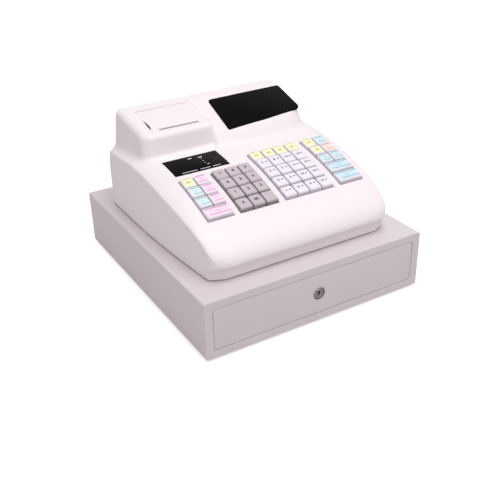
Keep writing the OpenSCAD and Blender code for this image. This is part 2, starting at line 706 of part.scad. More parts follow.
// Keys: [name, block, column, first row, rows, width in columns, colour, extra height]
KEYS = concat([
    ["key_left_yellow", LEFT, 0, 3, 1, 1, YELLOW, 0],
    ["key_left_cyan_1", LEFT, 0, 2, 1, 1, CYAN, 0],
    ["key_left_cyan_2", LEFT, 0, 1, 1, 1, CYAN, 0],
    ["key_left_pink_1", LEFT, 1, 3, 1, 1, PINK, 0],
    ["key_left_pink_2", LEFT, 1, 2, 1, 1, PINK, 0],
    ["key_left_pink_3", LEFT, 1, 1, 1, 1, PINK, 0],
    ["key_left_wide", LEFT, 0.5, 0, 1, 2, PINK, 0],
    ["key_7", DIGITS, 0, 3, 1, 1, GREY, digit_rise],
    ["key_8", DIGITS, 1, 3, 1, 1, GREY, digit_rise],
    ["key_9", DIGITS, 2, 3, 1, 1, GREY, digit_rise],
    ["key_4", DIGITS, 0, 2, 1, 1, GREY, digit_rise],
    ["key_5", DIGITS, 1, 2, 1, 1, GREY, digit_rise],
    ["key_6", DIGITS, 2, 2, 1, 1, GREY, digit_rise],
    ["key_1", DIGITS, 0, 1, 1, 1, GREY, digit_rise],
    ["key_2", DIGITS, 1, 1, 1, 1, GREY, digit_rise],
    ["key_3", DIGITS, 2, 1, 1, 1, GREY, digit_rise],
    ["key_0", DIGITS, 0, 0, 1, 1, GREY, digit_rise],
    ["key_00", DIGITS, 1, 0, 1, 1, GREY, digit_rise],
    ["key_point", DIGITS, 2, 0, 1, 1, GREY, digit_rise],
    ["key_right_yellow_1", RIGHT, 0, 4, 1, 1, YELLOW, 0],
    ["key_right_blue_1", RIGHT, 1, 4, 1, 1, BLUE, 0],
    ["key_right_yellow_2", RIGHT, 0, 3, 1, 1, YELLOW, 0],
    ["key_right_red", RIGHT, 1, 3, 1, 1, RED, 0],
    ["key_right_blue_2", RIGHT, 0, 2, 1, 1, BLUE, 0],
    ["key_right_blue_3", RIGHT, 1, 2, 1, 1, BLUE, 0],
    ["key_right_wide_1", RIGHT, 0.5, 1, 1, 2, BLUE, 0],
    ["key_right_wide_2", RIGHT, 0.5, 0, 1, 2, BLUE, 0]],
    [for (c = [0 : 3]) [str("key_department_", c + 1), DEPARTMENTS, c, 4, 1, 1, YELLOW, 0]],
    [for (c = [0 : 3]) [str("keys_department_column_", c + 1), DEPARTMENTS, c, 0, 4, 1, WHITE, 0]]);

cap_skin = 1.3;
cap_taper = 1.6;
cap_brow = 2.6;
cap_front = 3;
foot_t = 2;
foot_grip = 1.6;
frame_n = key_rise - cap_h - key_travel - 1;
foot_n = frame_n - key_frame_t - stem_gap;

// One cap with its stem; origin on the key plane at the cap's middle
module key_cap(w, rise, s) {
    l = key_ps - key_gap;
    top = bulge(s) + rise;
    low = bulge(s) + key_rise - cap_h;
    brow = top - cap_brow;
    difference() {
        intersection() {
            along_y(-l / 2, l / 2) polygon([[-w / 2, low], [w / 2, low], [w / 2, brow],
                [w / 2 - cap_taper, top], [-w / 2 + cap_taper, top], [-w / 2, brow]]);
            along_x(-w / 2, w / 2) polygon([[-l / 2, low], [l / 2, low], [l / 2, brow],
                [l / 2 - cap_taper, top], [-l / 2 + cap_front, top], [-l / 2, brow - 0.6]]);
        }
        span([-w / 2 + cap_skin, -l / 2 + cap_skin, low - 1],
             [w / 2 - cap_skin, l / 2 - cap_skin, brow - cap_skin]);
    }
    span([-stem_w / 2, -stem_w / 2, foot_n - foot_t], [stem_w / 2, stem_w / 2, brow - cap_skin + eps]);
    span([-stem_w / 2, -stem_w / 2 - foot_grip, foot_n - foot_t],
         [stem_w / 2, stem_w / 2 + foot_grip, foot_n]);
}

module key(k) color(k[6]) on_keys()
    for (r = [k[3] : k[3] + k[4] - 1])
        let (s = (r + 0.5) * key_ps)
            translate([col_x(k[1], k[2]), s, 0])
                key_cap(k[5] * key_px - key_gap, key_rise + k[7], s);

// ---------------------------------------------------------------- key frame, dome sheet, board
frame_margin = 7;
frame_x0 = LEFT[0] - LEFT[1] * key_px / 2 - frame_margin;
frame_x1 = RIGHT[0] + RIGHT[1] * key_px / 2 + frame_margin;
frame_s1 = key_rows * key_ps + frame_margin;
dome_n = foot_n - foot_t - key_travel - 0.5;
dome_h = 0.8;
sheet_n = dome_n - dome_h;
sheet_t = 0.8;
pcb_t = 1.6;
// Connectors on the boards: length, width and height, and the place of the one on the keyboard's board
plug_len = 40;
plug_w = 6;
plug_h = 6;
plug_x = 70;
skirt_t = 2;
board_n = sheet_n - sheet_t;
peg_d = 7;
screw_d = 3;
screw_head_d = 5.6;
screw_head_t = 2;
screw_hole = screw_d + 0.4;
// Places of the pegs that carry the key frame: [x, s]
gap_left = (LEFT[0] + LEFT[1] * key_px / 2 + DIGITS[0] - DIGITS[1] * key_px / 2) / 2;
gap_mid = (DIGITS[0] + DIGITS[1] * key_px / 2 + DEPARTMENTS[0] - DEPARTMENTS[1] * key_px / 2) / 2;
gap_right = (DEPARTMENTS[0] + DEPARTMENTS[1] * key_px / 2 + RIGHT[0] - RIGHT[1] * key_px / 2) / 2;
PEGS = [for (x = [gap_left, gap_mid, gap_right], s = [key_ps, 3 * key_ps]) [x, s]];

function stem_places() =
    [for (k = KEYS, r = [k[3] : k[3] + k[4] - 1]) [col_x(k[1], k[2]), (r + 0.5) * key_ps]];

// Outline shared by the key frame, the dome sheet and the board: it steps in beside the status window
notch_top = 4 * key_ps + frame_margin;
// Cut at its right front corner, beside the leaning cheek of the case: [along x, up the slope]
cheek_cut = [6, 25];
function keyboard_outline(i) = [
    [frame_x0 + i, i - frame_margin], [frame_x1 - cheek_cut[0] - i, i - frame_margin],
    [frame_x1 - i, cheek_cut[1] - frame_margin + i], [frame_x1 - i, frame_s1 - i],
    [gap_mid + i, frame_s1 - i], [gap_mid + i, notch_top - i], [frame_x0 + i, notch_top - i]];
module keyboard_plate(low, high, i) {
    translate([0, 0, low]) linear_extrude(high - low) polygon(keyboard_outline(i));
}

module key_frame() color("#5a5a60") on_keys() difference() {
    union() {
        keyboard_plate(frame_n - key_frame_t, frame_n, 0);
        // skirt that stands on the dome sheet
        difference() {
            keyboard_plate(sheet_n, frame_n - key_frame_t + eps, 0);
            keyboard_plate(sheet_n - 1, frame_n, skirt_t);
        }
    }
    for (p = stem_places())
        translate([p[0], p[1], frame_n - key_frame_t / 2])
            cube([stem_w + 2 * stem_gap, stem_w + 2 * stem_gap, key_frame_t + 1], center = true);
    for (p = PEGS)
        translate([p[0], p[1], frame_n - key_frame_t - 1]) cylinder(d = screw_hole, h = key_frame_t + 2);
}

module dome_sheet() color("#d8d4cc") on_keys() {
    keyboard_plate(sheet_n - sheet_t, sheet_n, 0);
    for (p = stem_places()) translate([p[0], p[1], sheet_n - eps]) cylinder(d1 = 11, d2 = 8, h = dome_h);
}

module keyboard_board() color("#2f6b45") on_keys() {
    keyboard_plate(board_n - pcb_t, board_n, 0);
    // cable connector
    translate([frame_x1 - plug_x, frame_s1 - 2 * plug_w, board_n - pcb_t - plug_h])
        cube([plug_len, plug_w, plug_h + eps]);
}

// ---------------------------------------------------------------- windows
status_w = 81;
status_x = -71.5;
status_l = 41.7;
status_y0 = keys_y + 4 * key_ps * cos(key_slope) + 11.2;
status_slope = atan((deck_at(status_y0 + status_l) - deck_at(status_y0)) / status_l);

// Places children on the status window's plane: x from the window's middle, then up the slope
module on_status() {
    translate([status_x, status_y0, case_z + deck_at(status_y0)]) rotate([status_slope, 0, 0]) children();
}

lens_slope = atan((display_crest_h - display_brow_h) / (display_brow - display_crest));
lens_x0 = 0.5;
lens_margin = 3.2;
// Places children on the lens slope: x, then up the slope from its lower edge
module on_lens() {
    translate([0, case_back - display_brow, case_z + display_brow_h]) rotate([lens_slope, 0, 0]) children();
}
// Outline of the lens, as [x, up the slope, radius]; grow moves it outward
lens_right = 128.5;
lens_rise = 12;
// Where the lower edge bends up: along it, up the slope, and the bend's radius
lens_bend = [62, 3.4, 200];
lens_top = 68.6;
lens_top_rise = 1.4;
function lens_outline(g) = rounded([
    [lens_x0 - g, lens_margin - g, max(2 + g, 0.5)],
    [lens_x0 + lens_bend[0], lens_margin + lens_bend[1] - g, lens_bend[2]],
    [lens_right + g, lens_margin + lens_rise - g, max(8 + g, 1)],
    [lens_right - 5 + g, lens_margin + lens_top + lens_top_rise + g, max(4 + g, 0.5)],
    [lens_x0 + 1.5 - g, lens_margin + lens_top + g, max(5 + g, 0.5)]]);

module status_window() color("#17171c") on_status()
    span([-status_w / 2, 0, status_top - lens_t], [status_w / 2, status_l, status_top]);

module display_window() color("#131318") on_lens()
    translate([0, 0, lens_top_n - lens_t]) linear_extrude(lens_t) polygon(lens_outline(0));

seat_t = 2;
window_cut = 12;
board_drop = 9;
post_d = 5;

// Corners of the two windows, moved inward by i: [x, up the slope]
function status_corners(i) = [[i - status_w / 2, i], [status_w / 2 - i, i],
    [status_w / 2 - i, status_l - i], [i - status_w / 2, status_l - i]];
function lens_corners(i) = [
    [lens_x0 + i, lens_margin + i], [lens_right - 1.4 * i, lens_margin + lens_rise + 1.4 * i],
    [lens_right - 5 - i, lens_margin + lens_top + lens_top_rise - 1.2 * i],
    [lens_x0 + 1.5 + 1.2 * i, lens_margin + lens_top - 1.2 * i]];
status_top = 0.3;
lens_top_n = 0.2;
post_inset = lens_ledge / 2;

// Ledge under a window with four posts that carry the board behind it
module seat(corners, posts, top) {
    translate([0, 0, top - lens_t - seat_t]) linear_extrude(seat_t + lens_t - top - eps) polygon(corners);
    for (p = posts)
        translate([p[0], p[1], top - lens_t - board_drop]) cylinder(d = post_d, h = board_drop - eps);
}

// Board with its display, behind a window
module window_board(corners, inner, top) {
    translate([0, 0, top - lens_t - board_drop - pcb_t]) linear_extrude(pcb_t) polygon(corners);
    translate([0, 0, top - lens_t - board_drop - eps]) linear_extrude(board_drop - 1) polygon(inner);
}

module display_boards() color("#2f6b45") {
    on_status() window_board(status_corners(0.5), status_corners(lens_ledge + 1), status_top);
    on_lens() window_board(lens_corners(1.5), lens_corners(lens_ledge + 3), lens_top_n);
}

// ---------------------------------------------------------------- printer cover and printer
cover_x1 = step_x - cover_step;
cover_x0 = cover_x1 - cover_w;
cover_slope = atan((printer_crest_h - printer_brow_h) / (printer_brow - printer_crest));
cover_l0 = 5;
bead_r = 2.4;
pin_out = 3;
pin_block = 3.5;
// Places children on the printer slope: x, then up the slope from the brow
module on_cover() {
    translate([0, case_back - printer_brow, case_z + printer_brow_h]) rotate([cover_slope, 0, 0]) children();
}
slot_s = cover_l0 + slot_back;
notch_r = 22;
notch_in = 2.6;
notch_s = cover_l0 + 26;
hinge_s = cover_l0 + cover_l - bead_r;

module printer_cover() color("#faf4f4") on_cover() difference() {
    union() {
        span([cover_x0, cover_l0, -cover_t], [cover_x1, hinge_s, 0]);
        // rounded rear edge around the hinge axis, with a pin at each end
        translate([0, hinge_s, -bead_r]) {
            rod_x(2 * bead_r, cover_x0, cover_x1);
            rod_x(hinge_d, cover_x0 - pin_out, cover_x1 + pin_out);
        }
    }
    // paper slot
    translate([printer_x - slot_w / 2, slot_s, -cover_t - 1]) cube([slot_w, slot_t, cover_t + 2]);
    // finger notch in the left edge
    translate([cover_x0 - notch_r + notch_in, notch_s, -cover_t - 1]) cylinder(r = notch_r, h = cover_t + 2);
}

plate_t = 2;
plate_z = floor_h + 56;
cheek_t = 2.5;
printer_x = (cover_x0 + cover_x1) / 2;
bay_half = paper_w / 2 + 1.5;
bucket_r = paper_d / 2 + slide_gap;
bucket_t = 2;
platen_s = slot_s + 5;
platen_n = -cover_t - 5 - platen_d / 2;
shaft_d = 4;
// Gap between the full roll and the platen
roll_gap = 1.6;
roll_reach = paper_d / 2 + platen_d / 2 + roll_gap;
roll_n = -cover_t - 3 - paper_d / 2;
roll_s = platen_s + sqrt(roll_reach * roll_reach - (roll_n - platen_n) * (roll_n - platen_n));

feed_s0 = slot_s - 8;
feed_s1 = roll_s + bucket_r + bucket_t;
feed_deep = 80;
feed_top = cover_t + 6;
head_deep = 46;
motor_d = 20;
motor_l = 8;
motor_deep = 40;

// Places children on the printer slope, in the middle of the printer
module on_printer() {
    on_cover() translate([printer_x, 0, 0]) children();
}

module printer_unit() color("#4a4a50") difference() {
    union() {
        on_printer() {
            // side plates
            for (side = [0, 1]) mirror([side, 0, 0])
                span([bay_half, feed_s0, -feed_deep], [bay_half + cheek_t, feed_s1, -feed_top]);
            // paper bucket
            difference() {
                span([-bay_half - eps, roll_s - bucket_r - bucket_t, roll_n - bucket_r - bucket_t],
                     [bay_half + eps, feed_s1, roll_n]);
                translate([0, roll_s, roll_n]) rod_x(2 * bucket_r, -bay_half - 1, bay_half + 1, $fn = 96);
            }
            // print head block in front of the platen
            span([-bay_half - eps, feed_s0, -head_deep],
                 [bay_half + eps, platen_s - platen_d / 2 - 1, -feed_top - 2]);
            translate([0, platen_s + 2, -motor_deep])
                rod_x(motor_d, bay_half + cheek_t - eps, bay_half + cheek_t + motor_l);
        }
        // base plate on the posts
        span([printer_x - bay_half - cheek_t, case_back - printer_brow + 2, case_z + plate_z],
             [printer_x + bay_half + cheek_t, case_back - 20, case_z + plate_z + plate_t]);
    }
    on_printer() translate([0, platen_s, platen_n])
        rod_x(shaft_d + 2 * pin_fit, -bay_half - cheek_t - 1, bay_half + cheek_t + 1);
    // trim whatever hangs below the base plate
    span([printer_x - 2 * bay_half, nose_y, case_z], [printer_x + 2 * bay_half, case_back, case_z + plate_z]);
}

module platen_roller() color("#202024") on_printer() translate([0, platen_s, platen_n]) {
    rod_x(platen_d, 1 - bay_half, bay_half - 1);
    rod_x(shaft_d, -bay_half - cheek_t, bay_half + cheek_t);
}

module paper_roll() color("#f6f4ef") on_printer() translate([0, roll_s, roll_n]) difference() {
    rod_x(paper_d, -paper_w / 2, paper_w / 2, $fn = 96);
    rod_x(core_d, -paper_w, paper_w);
}

// ---------------------------------------------------------------- case
// Corner screw posts: [x, y]
boss_d = 8;
pad_d = 13;
boss_h = 40;
rim_h = 11;
rib_t = 2;
post_w = 8;
POSTS = [for (x = [-1, 1], y = [case_front + 28, case_back - 18])
    [x * (side_at(y) - 2 * wall - 2 * fit - boss_d / 2), y]];
function rib_l(p) = side_at(p[1]) - wall / 2 - abs(p[0]);
gland_x = 92;
gland_h = 22;
gland_d = 15;
tab_w = 34;
tab_h = 38;

module upper_case() color("#f6eeef") difference() {
    union() {
        shell(case_rings(0), case_rings(wall));
        on_status() seat(status_corners(-2.5), status_corners(post_inset), status_top);
        on_lens() seat(lens_corners(-2), lens_corners(post_inset), lens_top_n);
        // blocks that hold the printer cover's pins
        on_cover() for (x = [cover_x0 - cover_gap - pin_block, cover_x1 + cover_gap])
            span([x, hinge_s - pin_block, -bead_r - pin_block],
                 [x + pin_block, hinge_s + pin_block, -wall / 2]);
        on_keys() for (p = PEGS)
            translate([p[0], p[1], frame_n]) cylinder(d = peg_d, h = bulge(p[1]) - wall / 2 - frame_n);
        for (p = POSTS)
            translate([p[0], p[1], case_z + floor_h + eps]) {
                cylinder(d = boss_d, h = boss_h);
                // rib that joins the boss to the side wall
                mirror([p[0] > 0 ? 0 : 1, 0, 0])
                    translate([0, -rib_t / 2, rim_h]) cube([rib_l(p), rib_t, boss_h - rim_h]);
            }
    }
    // room for the apron
    span([-case_w, nose_y - 20, case_z - 5], [case_w, case_front + apron_chamfer_y + fit, case_z + apron_h]);
    // key wells
    on_keys() for (b = BLOCKS)
        span([b[0] - b[1] * key_px / 2 - well_gap, -well_gap, -8],
             [b[0] + b[1] * key_px / 2 + well_gap, b[2] * key_ps + well_gap, 20]);
    on_keys() for (p = PEGS) translate([p[0], p[1], frame_n - 1]) cylinder(d = screw_hole, h = 7);
    for (p = POSTS) translate([p[0], p[1], case_z]) cylinder(d = screw_hole, h = 20);
    // seats of the two windows
    on_status() {
        translate([0, 0, status_top - lens_t]) linear_extrude(window_cut) polygon(status_corners(-lens_gap));
        translate([0, 0, -window_cut]) linear_extrude(2 * window_cut) polygon(status_corners(lens_ledge));
    }
    on_lens() {
        translate([0, 0, lens_top_n - lens_t]) linear_extrude(window_cut) polygon(lens_outline(lens_gap));
        translate([0, 0, -window_cut]) linear_extrude(2 * window_cut) polygon(lens_outline(-lens_ledge));
    }
    // printer bay
    on_cover() span([cover_x0 - cover_gap, cover_l0 - cover_gap, -wall - 3],
                    [cover_x1 + cover_gap, cover_l0 + cover_l + cover_gap, 20]);
    on_cover() translate([0, hinge_s, -bead_r])
        rod_x(hinge_d + 2 * pin_fit, cover_x0 - pin_out - fit, cover_x1 + pin_out + fit);
    // notch for the cord gland in the rear wall
    span([gland_x - tab_w / 2 + 2, case_back - 20, case_z - 1],
         [gland_x + tab_w / 2 - 2, case_back + 5, case_z + tab_h - 4]);
}

module base_case() color("#f1e9ea") difference() {
    union() {
        // floor and rim
        translate([0, 0, case_z + pad_h]) linear_extrude(floor_t) polygon(foot_plan(wall + fit));
        translate([0, 0, case_z + pad_h]) linear_extrude(floor_t + rim_h - wall) difference() {
            polygon(foot_plan(wall + fit));
            polygon(foot_plan(2 * wall + fit));
        }
        // apron
        translate([0, 0, case_z + pad_h]) linear_extrude(apron_h - fit - pad_h) intersection() {
            difference() {
                polygon(foot_plan(0));
                polygon(foot_plan(wall + fit + 1));
            }
            translate([-case_w, nose_y]) square([2 * case_w, case_front + apron_chamfer_y - nose_y]);
        }
        // pads
        for (p = POSTS) translate([p[0], p[1], case_z]) cylinder(d = pad_d, h = pad_h + 1);
        // tab for the cord gland
        span([gland_x - tab_w / 2, case_back - 2 * wall - fit, case_z + floor_h - eps],
             [gland_x + tab_w / 2, case_back - wall - fit, case_z + tab_h]);
        // posts of the main board
        for (p = BOARD_POSTS)
            translate([p[0], p[1], case_z + floor_h - eps]) cylinder(d = 7, h = board_h - floor_h + eps);
        // posts of the printer
        for (x = [-1, 1], y = [case_back - printer_brow + 3, case_back - 29])
            translate([printer_x + x * (bay_half - 6) - post_w / 2, y, case_z + floor_h - eps])
                cube([post_w, post_w, plate_z - floor_h + eps]);
    }
    for (p = POSTS) translate([p[0], p[1], case_z - 1]) {
        cylinder(d = screw_hole, h = 10);
        cylinder(d = screw_head_d + 0.6, h = 1 + screw_head_t + 0.2);
    }
    translate([gland_x, case_back, case_z + gland_h]) rotate([90, 0, 0]) cylinder(d = gland_d, h = 20);
}

// ---------------------------------------------------------------- electronics
board_h = floor_h + 8;
board_x = [-118, 60];
board_y = [-95, 28];
BOARD_POSTS = [for (x = [board_x[0] + 8, board_x[1] - 8], y = [board_y[0] + 8, board_y[1] - 8]) [x, y]];

// Chips on the main board: [left, front, width, length, height]
CHIPS = [[58, 45, 24, 24, 2.4], [98, 35, 20, 14, 2.4]];
can_d = 10;
can_h = 18;

module main_board() color("#2f6b45") translate([board_x[0], board_y[0], case_z + board_h]) {
    cube([board_x[1] - board_x[0], board_y[1] - board_y[0], pcb_t]);
    for (c = CHIPS) translate([c[0], c[1], pcb_t - eps]) cube([c[2], c[3], c[4] + eps]);
    // cable connectors and capacitors
    for (x = [18, 128]) translate([x, 97, pcb_t - eps]) cube([plug_len, plug_w, plug_h]);
    for (x = [138, 152, 164]) translate([x, 25, pcb_t - eps]) cylinder(d = can_d, h = can_h);
}

core_w = 66;
core_l = 44;
core_h = 54;
core_x = 92;
core_y = 62;

coil_inset = 12;
coil_out = 8;
lug_out = 10;
lug_plate_t = 1.5;

module transformer() color("#7c7a7c") translate([core_x, core_y, case_z + floor_h]) {
    span([-core_w / 2, coil_out - core_l / 2, 0], [core_w / 2, core_l / 2 - coil_out, core_h]);
    span([coil_inset - core_w / 2, -core_l / 2, coil_inset / 2],
         [core_w / 2 - coil_inset, core_l / 2, core_h - coil_inset / 2]);
    span([-core_w / 2 - lug_out, lug_out - core_l / 2, 0],
         [core_w / 2 + lug_out, core_l / 2 - lug_out, lug_plate_t]);
}

cord_d = 7;
gland_out = 8;
gland_flange_d = gland_d + 4;
module cord_gland() color("#2a2a2d")
    translate([gland_x, case_back - 2 * wall - fit, case_z + gland_h]) rotate([-90, 0, 0]) difference() {
        union() {
            translate([0, 0, -3]) cylinder(d = gland_flange_d, h = 3);
            translate([0, 0, -eps]) cylinder(d = gland_d - 0.2, h = wall + gland_out);
            translate([0, 0, wall + slide_gap]) cylinder(d = gland_flange_d, h = 2);
        }
        translate([0, 0, -4]) cylinder(d = cord_d + 0.2, h = wall + gland_out + 8);
    }

module screw(l) {
    cylinder(d = screw_head_d, h = screw_head_t);
    translate([0, 0, screw_head_t - eps]) cylinder(d = screw_d, h = l);
}

module case_screws() color("#a9abb0") {
    for (p = POSTS) translate([p[0], p[1], case_z + 0.2]) screw(14);
    on_keys() for (p = PEGS) translate([p[0], p[1], frame_n - key_frame_t - screw_head_t]) screw(6);
}

// ---------------------------------------------------------------- nodes
PLAIN = ["cabinet_shell", "cabinet_feet", "drawer_pan", "drawer_front", "till_insert", "bill_clips",
    "lock_housing", "lock_plug", "latch_unit", "base_case", "upper_case", "key_frame", "dome_sheet",
    "keyboard_board", "status_window", "display_window", "display_boards", "printer_cover",
    "printer_unit", "platen_roller", "paper_roll", "main_board", "transformer", "cord_gland", "case_screws"];

cabinet_shell();
cabinet_feet();
drawer_pan();
drawer_front();
till_insert();
bill_clips();
lock_housing();
lock_plug();
latch_unit();
base_case();
upper_case();
key_frame();
dome_sheet();
keyboard_board();
status_window();
display_window();
display_boards();
printer_cover();
printer_unit();
platen_roller();
paper_roll();
main_board();
transformer();
cord_gland();
case_screws();
for (k = KEYS) key(k);
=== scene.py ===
"""Electronic cash register with a receipt printer, standing on its own cash drawer.

The classes hold their sizes in millimetres, as the solids do, and build their meshes in metres.
X runs to the right seen from the front, Y to the back and Z up.
"""

import logging
import math
from dataclasses import dataclass, field
from enum import Enum
from typing import Callable, Optional, Sequence

import bpy
import numpy as np
from mathutils import Matrix, Vector

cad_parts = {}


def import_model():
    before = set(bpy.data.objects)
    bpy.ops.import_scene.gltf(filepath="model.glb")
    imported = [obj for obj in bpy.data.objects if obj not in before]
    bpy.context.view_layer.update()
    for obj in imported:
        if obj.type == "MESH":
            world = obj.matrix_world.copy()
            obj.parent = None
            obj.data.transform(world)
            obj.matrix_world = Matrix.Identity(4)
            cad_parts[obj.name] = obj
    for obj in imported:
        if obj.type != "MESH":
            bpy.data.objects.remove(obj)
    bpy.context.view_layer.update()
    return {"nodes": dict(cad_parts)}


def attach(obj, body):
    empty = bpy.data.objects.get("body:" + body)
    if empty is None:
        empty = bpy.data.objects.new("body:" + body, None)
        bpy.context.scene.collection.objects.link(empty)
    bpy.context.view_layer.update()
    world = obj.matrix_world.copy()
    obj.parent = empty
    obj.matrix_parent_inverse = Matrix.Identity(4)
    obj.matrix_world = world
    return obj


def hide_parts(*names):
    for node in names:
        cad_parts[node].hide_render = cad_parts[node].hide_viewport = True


LOG = logging.getLogger("register")
MM = 0.001
Spot = tuple[float, float]
Point = tuple[float, float, float]
Ring = list[Point]
Place = Callable[[float, float, float], Point]


# ---------------------------------------------------------------- small helpers
def linear(code: str) -> tuple[float, float, float, float]:
    """Turns an sRGB hex colour into linear light.

    Args:
        code: the colour as "#RRGGBB".

    Returns:
        Red, green, blue and an alpha of 1.
    """
    values = [int(code[i:i + 2], 16) / 255 for i in (1, 3, 5)]
    lit = [v / 12.92 if v <= 0.04045 else ((v + 0.055) / 1.055) ** 2.4 for v in values]
    return (lit[0], lit[1], lit[2], 1.0)


def add_node(tree: bpy.types.NodeTree, kind: str, settings: Optional[dict] = None,
             links: Optional[dict] = None) -> bpy.types.Node:
    """Adds a node with its settings and links.

    Args:
        tree: the node tree it goes into.
        kind: the node's Blender type.
        settings: attribute or input names with their values.
        links: input names or indexes with the output sockets that feed them.

    Returns:
        The new node.
    """
    node = tree.nodes.new(kind)
    for name, value in (settings or {}).items():
        if isinstance(name, str) and hasattr(node, name):
            setattr(node, name, value)
        else:
            node.inputs[name].default_value = value
    for name, socket in (links or {}).items():
        tree.links.new(socket, node.inputs[name])
    return node


def bare_tree(owner: bpy.types.ID) -> bpy.types.NodeTree:
    """Gives a material or a world an empty node tree.

    Args:
        owner: the material or world.

    Returns:
        Its tree.
    """
    owner.use_nodes = True
    owner.node_tree.nodes.clear()
    return owner.node_tree


def plain(x: float, y: float, z: float) -> Point:
    """The row frame itself."""
    return (x, y, z)


def round_max(a: np.ndarray, b: np.ndarray, r: float, c: float = 0.0) -> np.ndarray:
    """Intersection of two distance fields with a rounded edge.

    Args:
        a: the first field.
        b: the second field.
        r: radius of the rounding.
        c: cosine of the angle between the two surfaces' normals.

    Returns:
        The field of what both hold.
    """
    u, v = a + r, b + r
    bend = np.sqrt(np.maximum(u * u + v * v - 2 * c * u * v, 0) / (1 - c * c)) - r
    return np.where((u > c * v) & (v > c * u), bend, np.maximum(a, b))


def round_min(a: np.ndarray, b: np.ndarray, r: float, c: float = 0.0) -> np.ndarray:
    """Union of two distance fields with a fillet of radius r, where c is as in round_max."""
    return -round_max(-a, -b, r, c)


def smooth_step(t: np.ndarray) -> np.ndarray:
    """Eases t from 0 to 1."""
    t = np.clip(t, 0, 1)
    return t * t * (3 - 2 * t)


# ---------------------------------------------------------------- finishes
class Relief(Enum):
    """How a surface was made, as far as its fine relief goes."""

    POLISHED = "polished"
    GRAINED = "grained"
    BRUSHED = "brushed"
    PEEL = "peel"


@dataclass(frozen=True)
class Finish:
    """A real material with its colour and the relief that its making leaves."""

    name: str
    colour: str
    roughness: float
    relief: Relief = Relief.GRAINED
    relief_mm: float = 0.8
    relief_depth_mm: float = 0.02
    mottle: float = 0.03
    metallic: float = 0.0
    ior: float = 1.5
    subsurface: float = 0.0

    MOTTLE_MM = 45.0
    GLOSS_SPREAD = 0.05
    BUMP_STRENGTH = 0.35
    BRUSHED_STRETCH = (0.04, 1, 1)
    SUBSURFACE_MM = 1.5

    def material(self) -> bpy.types.Material:
        """Builds the material, once.

        Returns:
            The material of this finish.
        """
        known = bpy.data.materials.get(self.name)
        if known:
            return known
        made = bpy.data.materials.new(self.name)
        tree = bare_tree(made)
        spot = add_node(tree, "ShaderNodeTexCoord").outputs["Object"]
        values = {"Metallic": self.metallic, "IOR": self.ior, "Subsurface Weight": self.subsurface}
        shader = add_node(tree, "ShaderNodeBsdfPrincipled", values, {"Base Color": self._colours(tree, spot)})
        if self.subsurface:
            shader.inputs["Subsurface Scale"].default_value = self.SUBSURFACE_MM * MM
        grain = self._grain(tree, spot)
        low, high = max(0.0, self.roughness - self.GLOSS_SPREAD), min(1.0, self.roughness + self.GLOSS_SPREAD)
        gloss = add_node(tree, "ShaderNodeMapRange", {"To Min": low, "To Max": high}, {"Value": grain})
        tree.links.new(gloss.outputs["Result"], shader.inputs["Roughness"])
        if self.relief is not Relief.POLISHED:
            depth = {"Strength": self.BUMP_STRENGTH, "Distance": self.relief_depth_mm * MM}
            bump = add_node(tree, "ShaderNodeBump", depth, {"Height": grain})
            tree.links.new(bump.outputs["Normal"], shader.inputs["Normal"])
        add_node(tree, "ShaderNodeOutputMaterial", links={"Surface": shader.outputs["BSDF"]})
        return made

    def _colours(self, tree: bpy.types.NodeTree, spot: bpy.types.NodeSocket) -> bpy.types.NodeSocket:
        """Adds the colour with the broad, faint unevenness that pigment and handling leave.

        Args:
            tree: the material's tree.
            spot: the socket of the place on the piece.

        Returns:
            The colour's socket.
        """
        size = {"Scale": 1 / (self.MOTTLE_MM * MM), "Detail": 3.0}
        cloud = add_node(tree, "ShaderNodeTexNoise", size, {"Vector": spot})
        tint = add_node(tree, "ShaderNodeMix", {"data_type": "RGBA"}, {0: cloud.outputs["Fac"]})
        base = linear(self.colour)[:3]
        # inputs 6 and 7 are the two colours that the node mixes
        tint.inputs[6].default_value = (*[c * (1 - self.mottle) for c in base], 1.0)
        tint.inputs[7].default_value = (*[min(1.0, c * (1 + self.mottle)) for c in base], 1.0)
        return tint.outputs[2]

    def _grain(self, tree: bpy.types.NodeTree, spot: bpy.types.NodeSocket) -> bpy.types.NodeSocket:
        """Adds the fine pattern of the relief, drawn out along x where the surface is brushed.

        Args:
            tree: the material's tree.
            spot: the socket of the place on the piece.

        Returns:
            The pattern's socket.
        """
        stretch = self.BRUSHED_STRETCH if self.relief is Relief.BRUSHED else (1, 1, 1)
        lay = add_node(tree, "ShaderNodeMapping", {"Scale": stretch}, {"Vector": spot})
        size = {"Scale": 1 / (self.relief_mm * MM), "Detail": 2.0}
        grain = add_node(tree, "ShaderNodeTexNoise", size, {"Vector": lay.outputs["Vector"]})
        return grain.outputs["Fac"]


# ABS moulded in a spark-eroded tool: satin, with a fine even grain
CASE_ABS = Finish("abs_moulded_warm_white", "#F6EEF0", 0.42, relief_mm=0.7, mottle=0.006, ior=1.54)
# Powder coat on sheet steel: a little glossier, with a slight orange peel
POWDER = Finish("powder_coat_warm_white", "#DED4D7", 0.38, Relief.PEEL, relief_mm=2.2, relief_depth_mm=0.05,
                mottle=0.006)
# Zinc plated sheet: dull grey with a fine rolled direction
ZINC = Finish("zinc_plated_sheet", "#B9B7BA", 0.34, Relief.BRUSHED, relief_mm=0.9, relief_depth_mm=0.01,
              mottle=0.05, metallic=1.0)
# Nickel plate over turned zinc: bright and slightly warm
NICKEL = Finish("nickel_plate_turned", "#C6C5C8", 0.2, Relief.POLISHED, relief_mm=0.6, mottle=0.03,
                metallic=1.0)
# The same plate, duller, and darkened as painted shade and dark reflection where it is recessed
NICKEL_SHADED = Finish("nickel_plate_painted_shade", "#86838A", 0.32, Relief.BRUSHED, relief_mm=0.5,
                     relief_depth_mm=0.01, mottle=0.12, metallic=1.0)
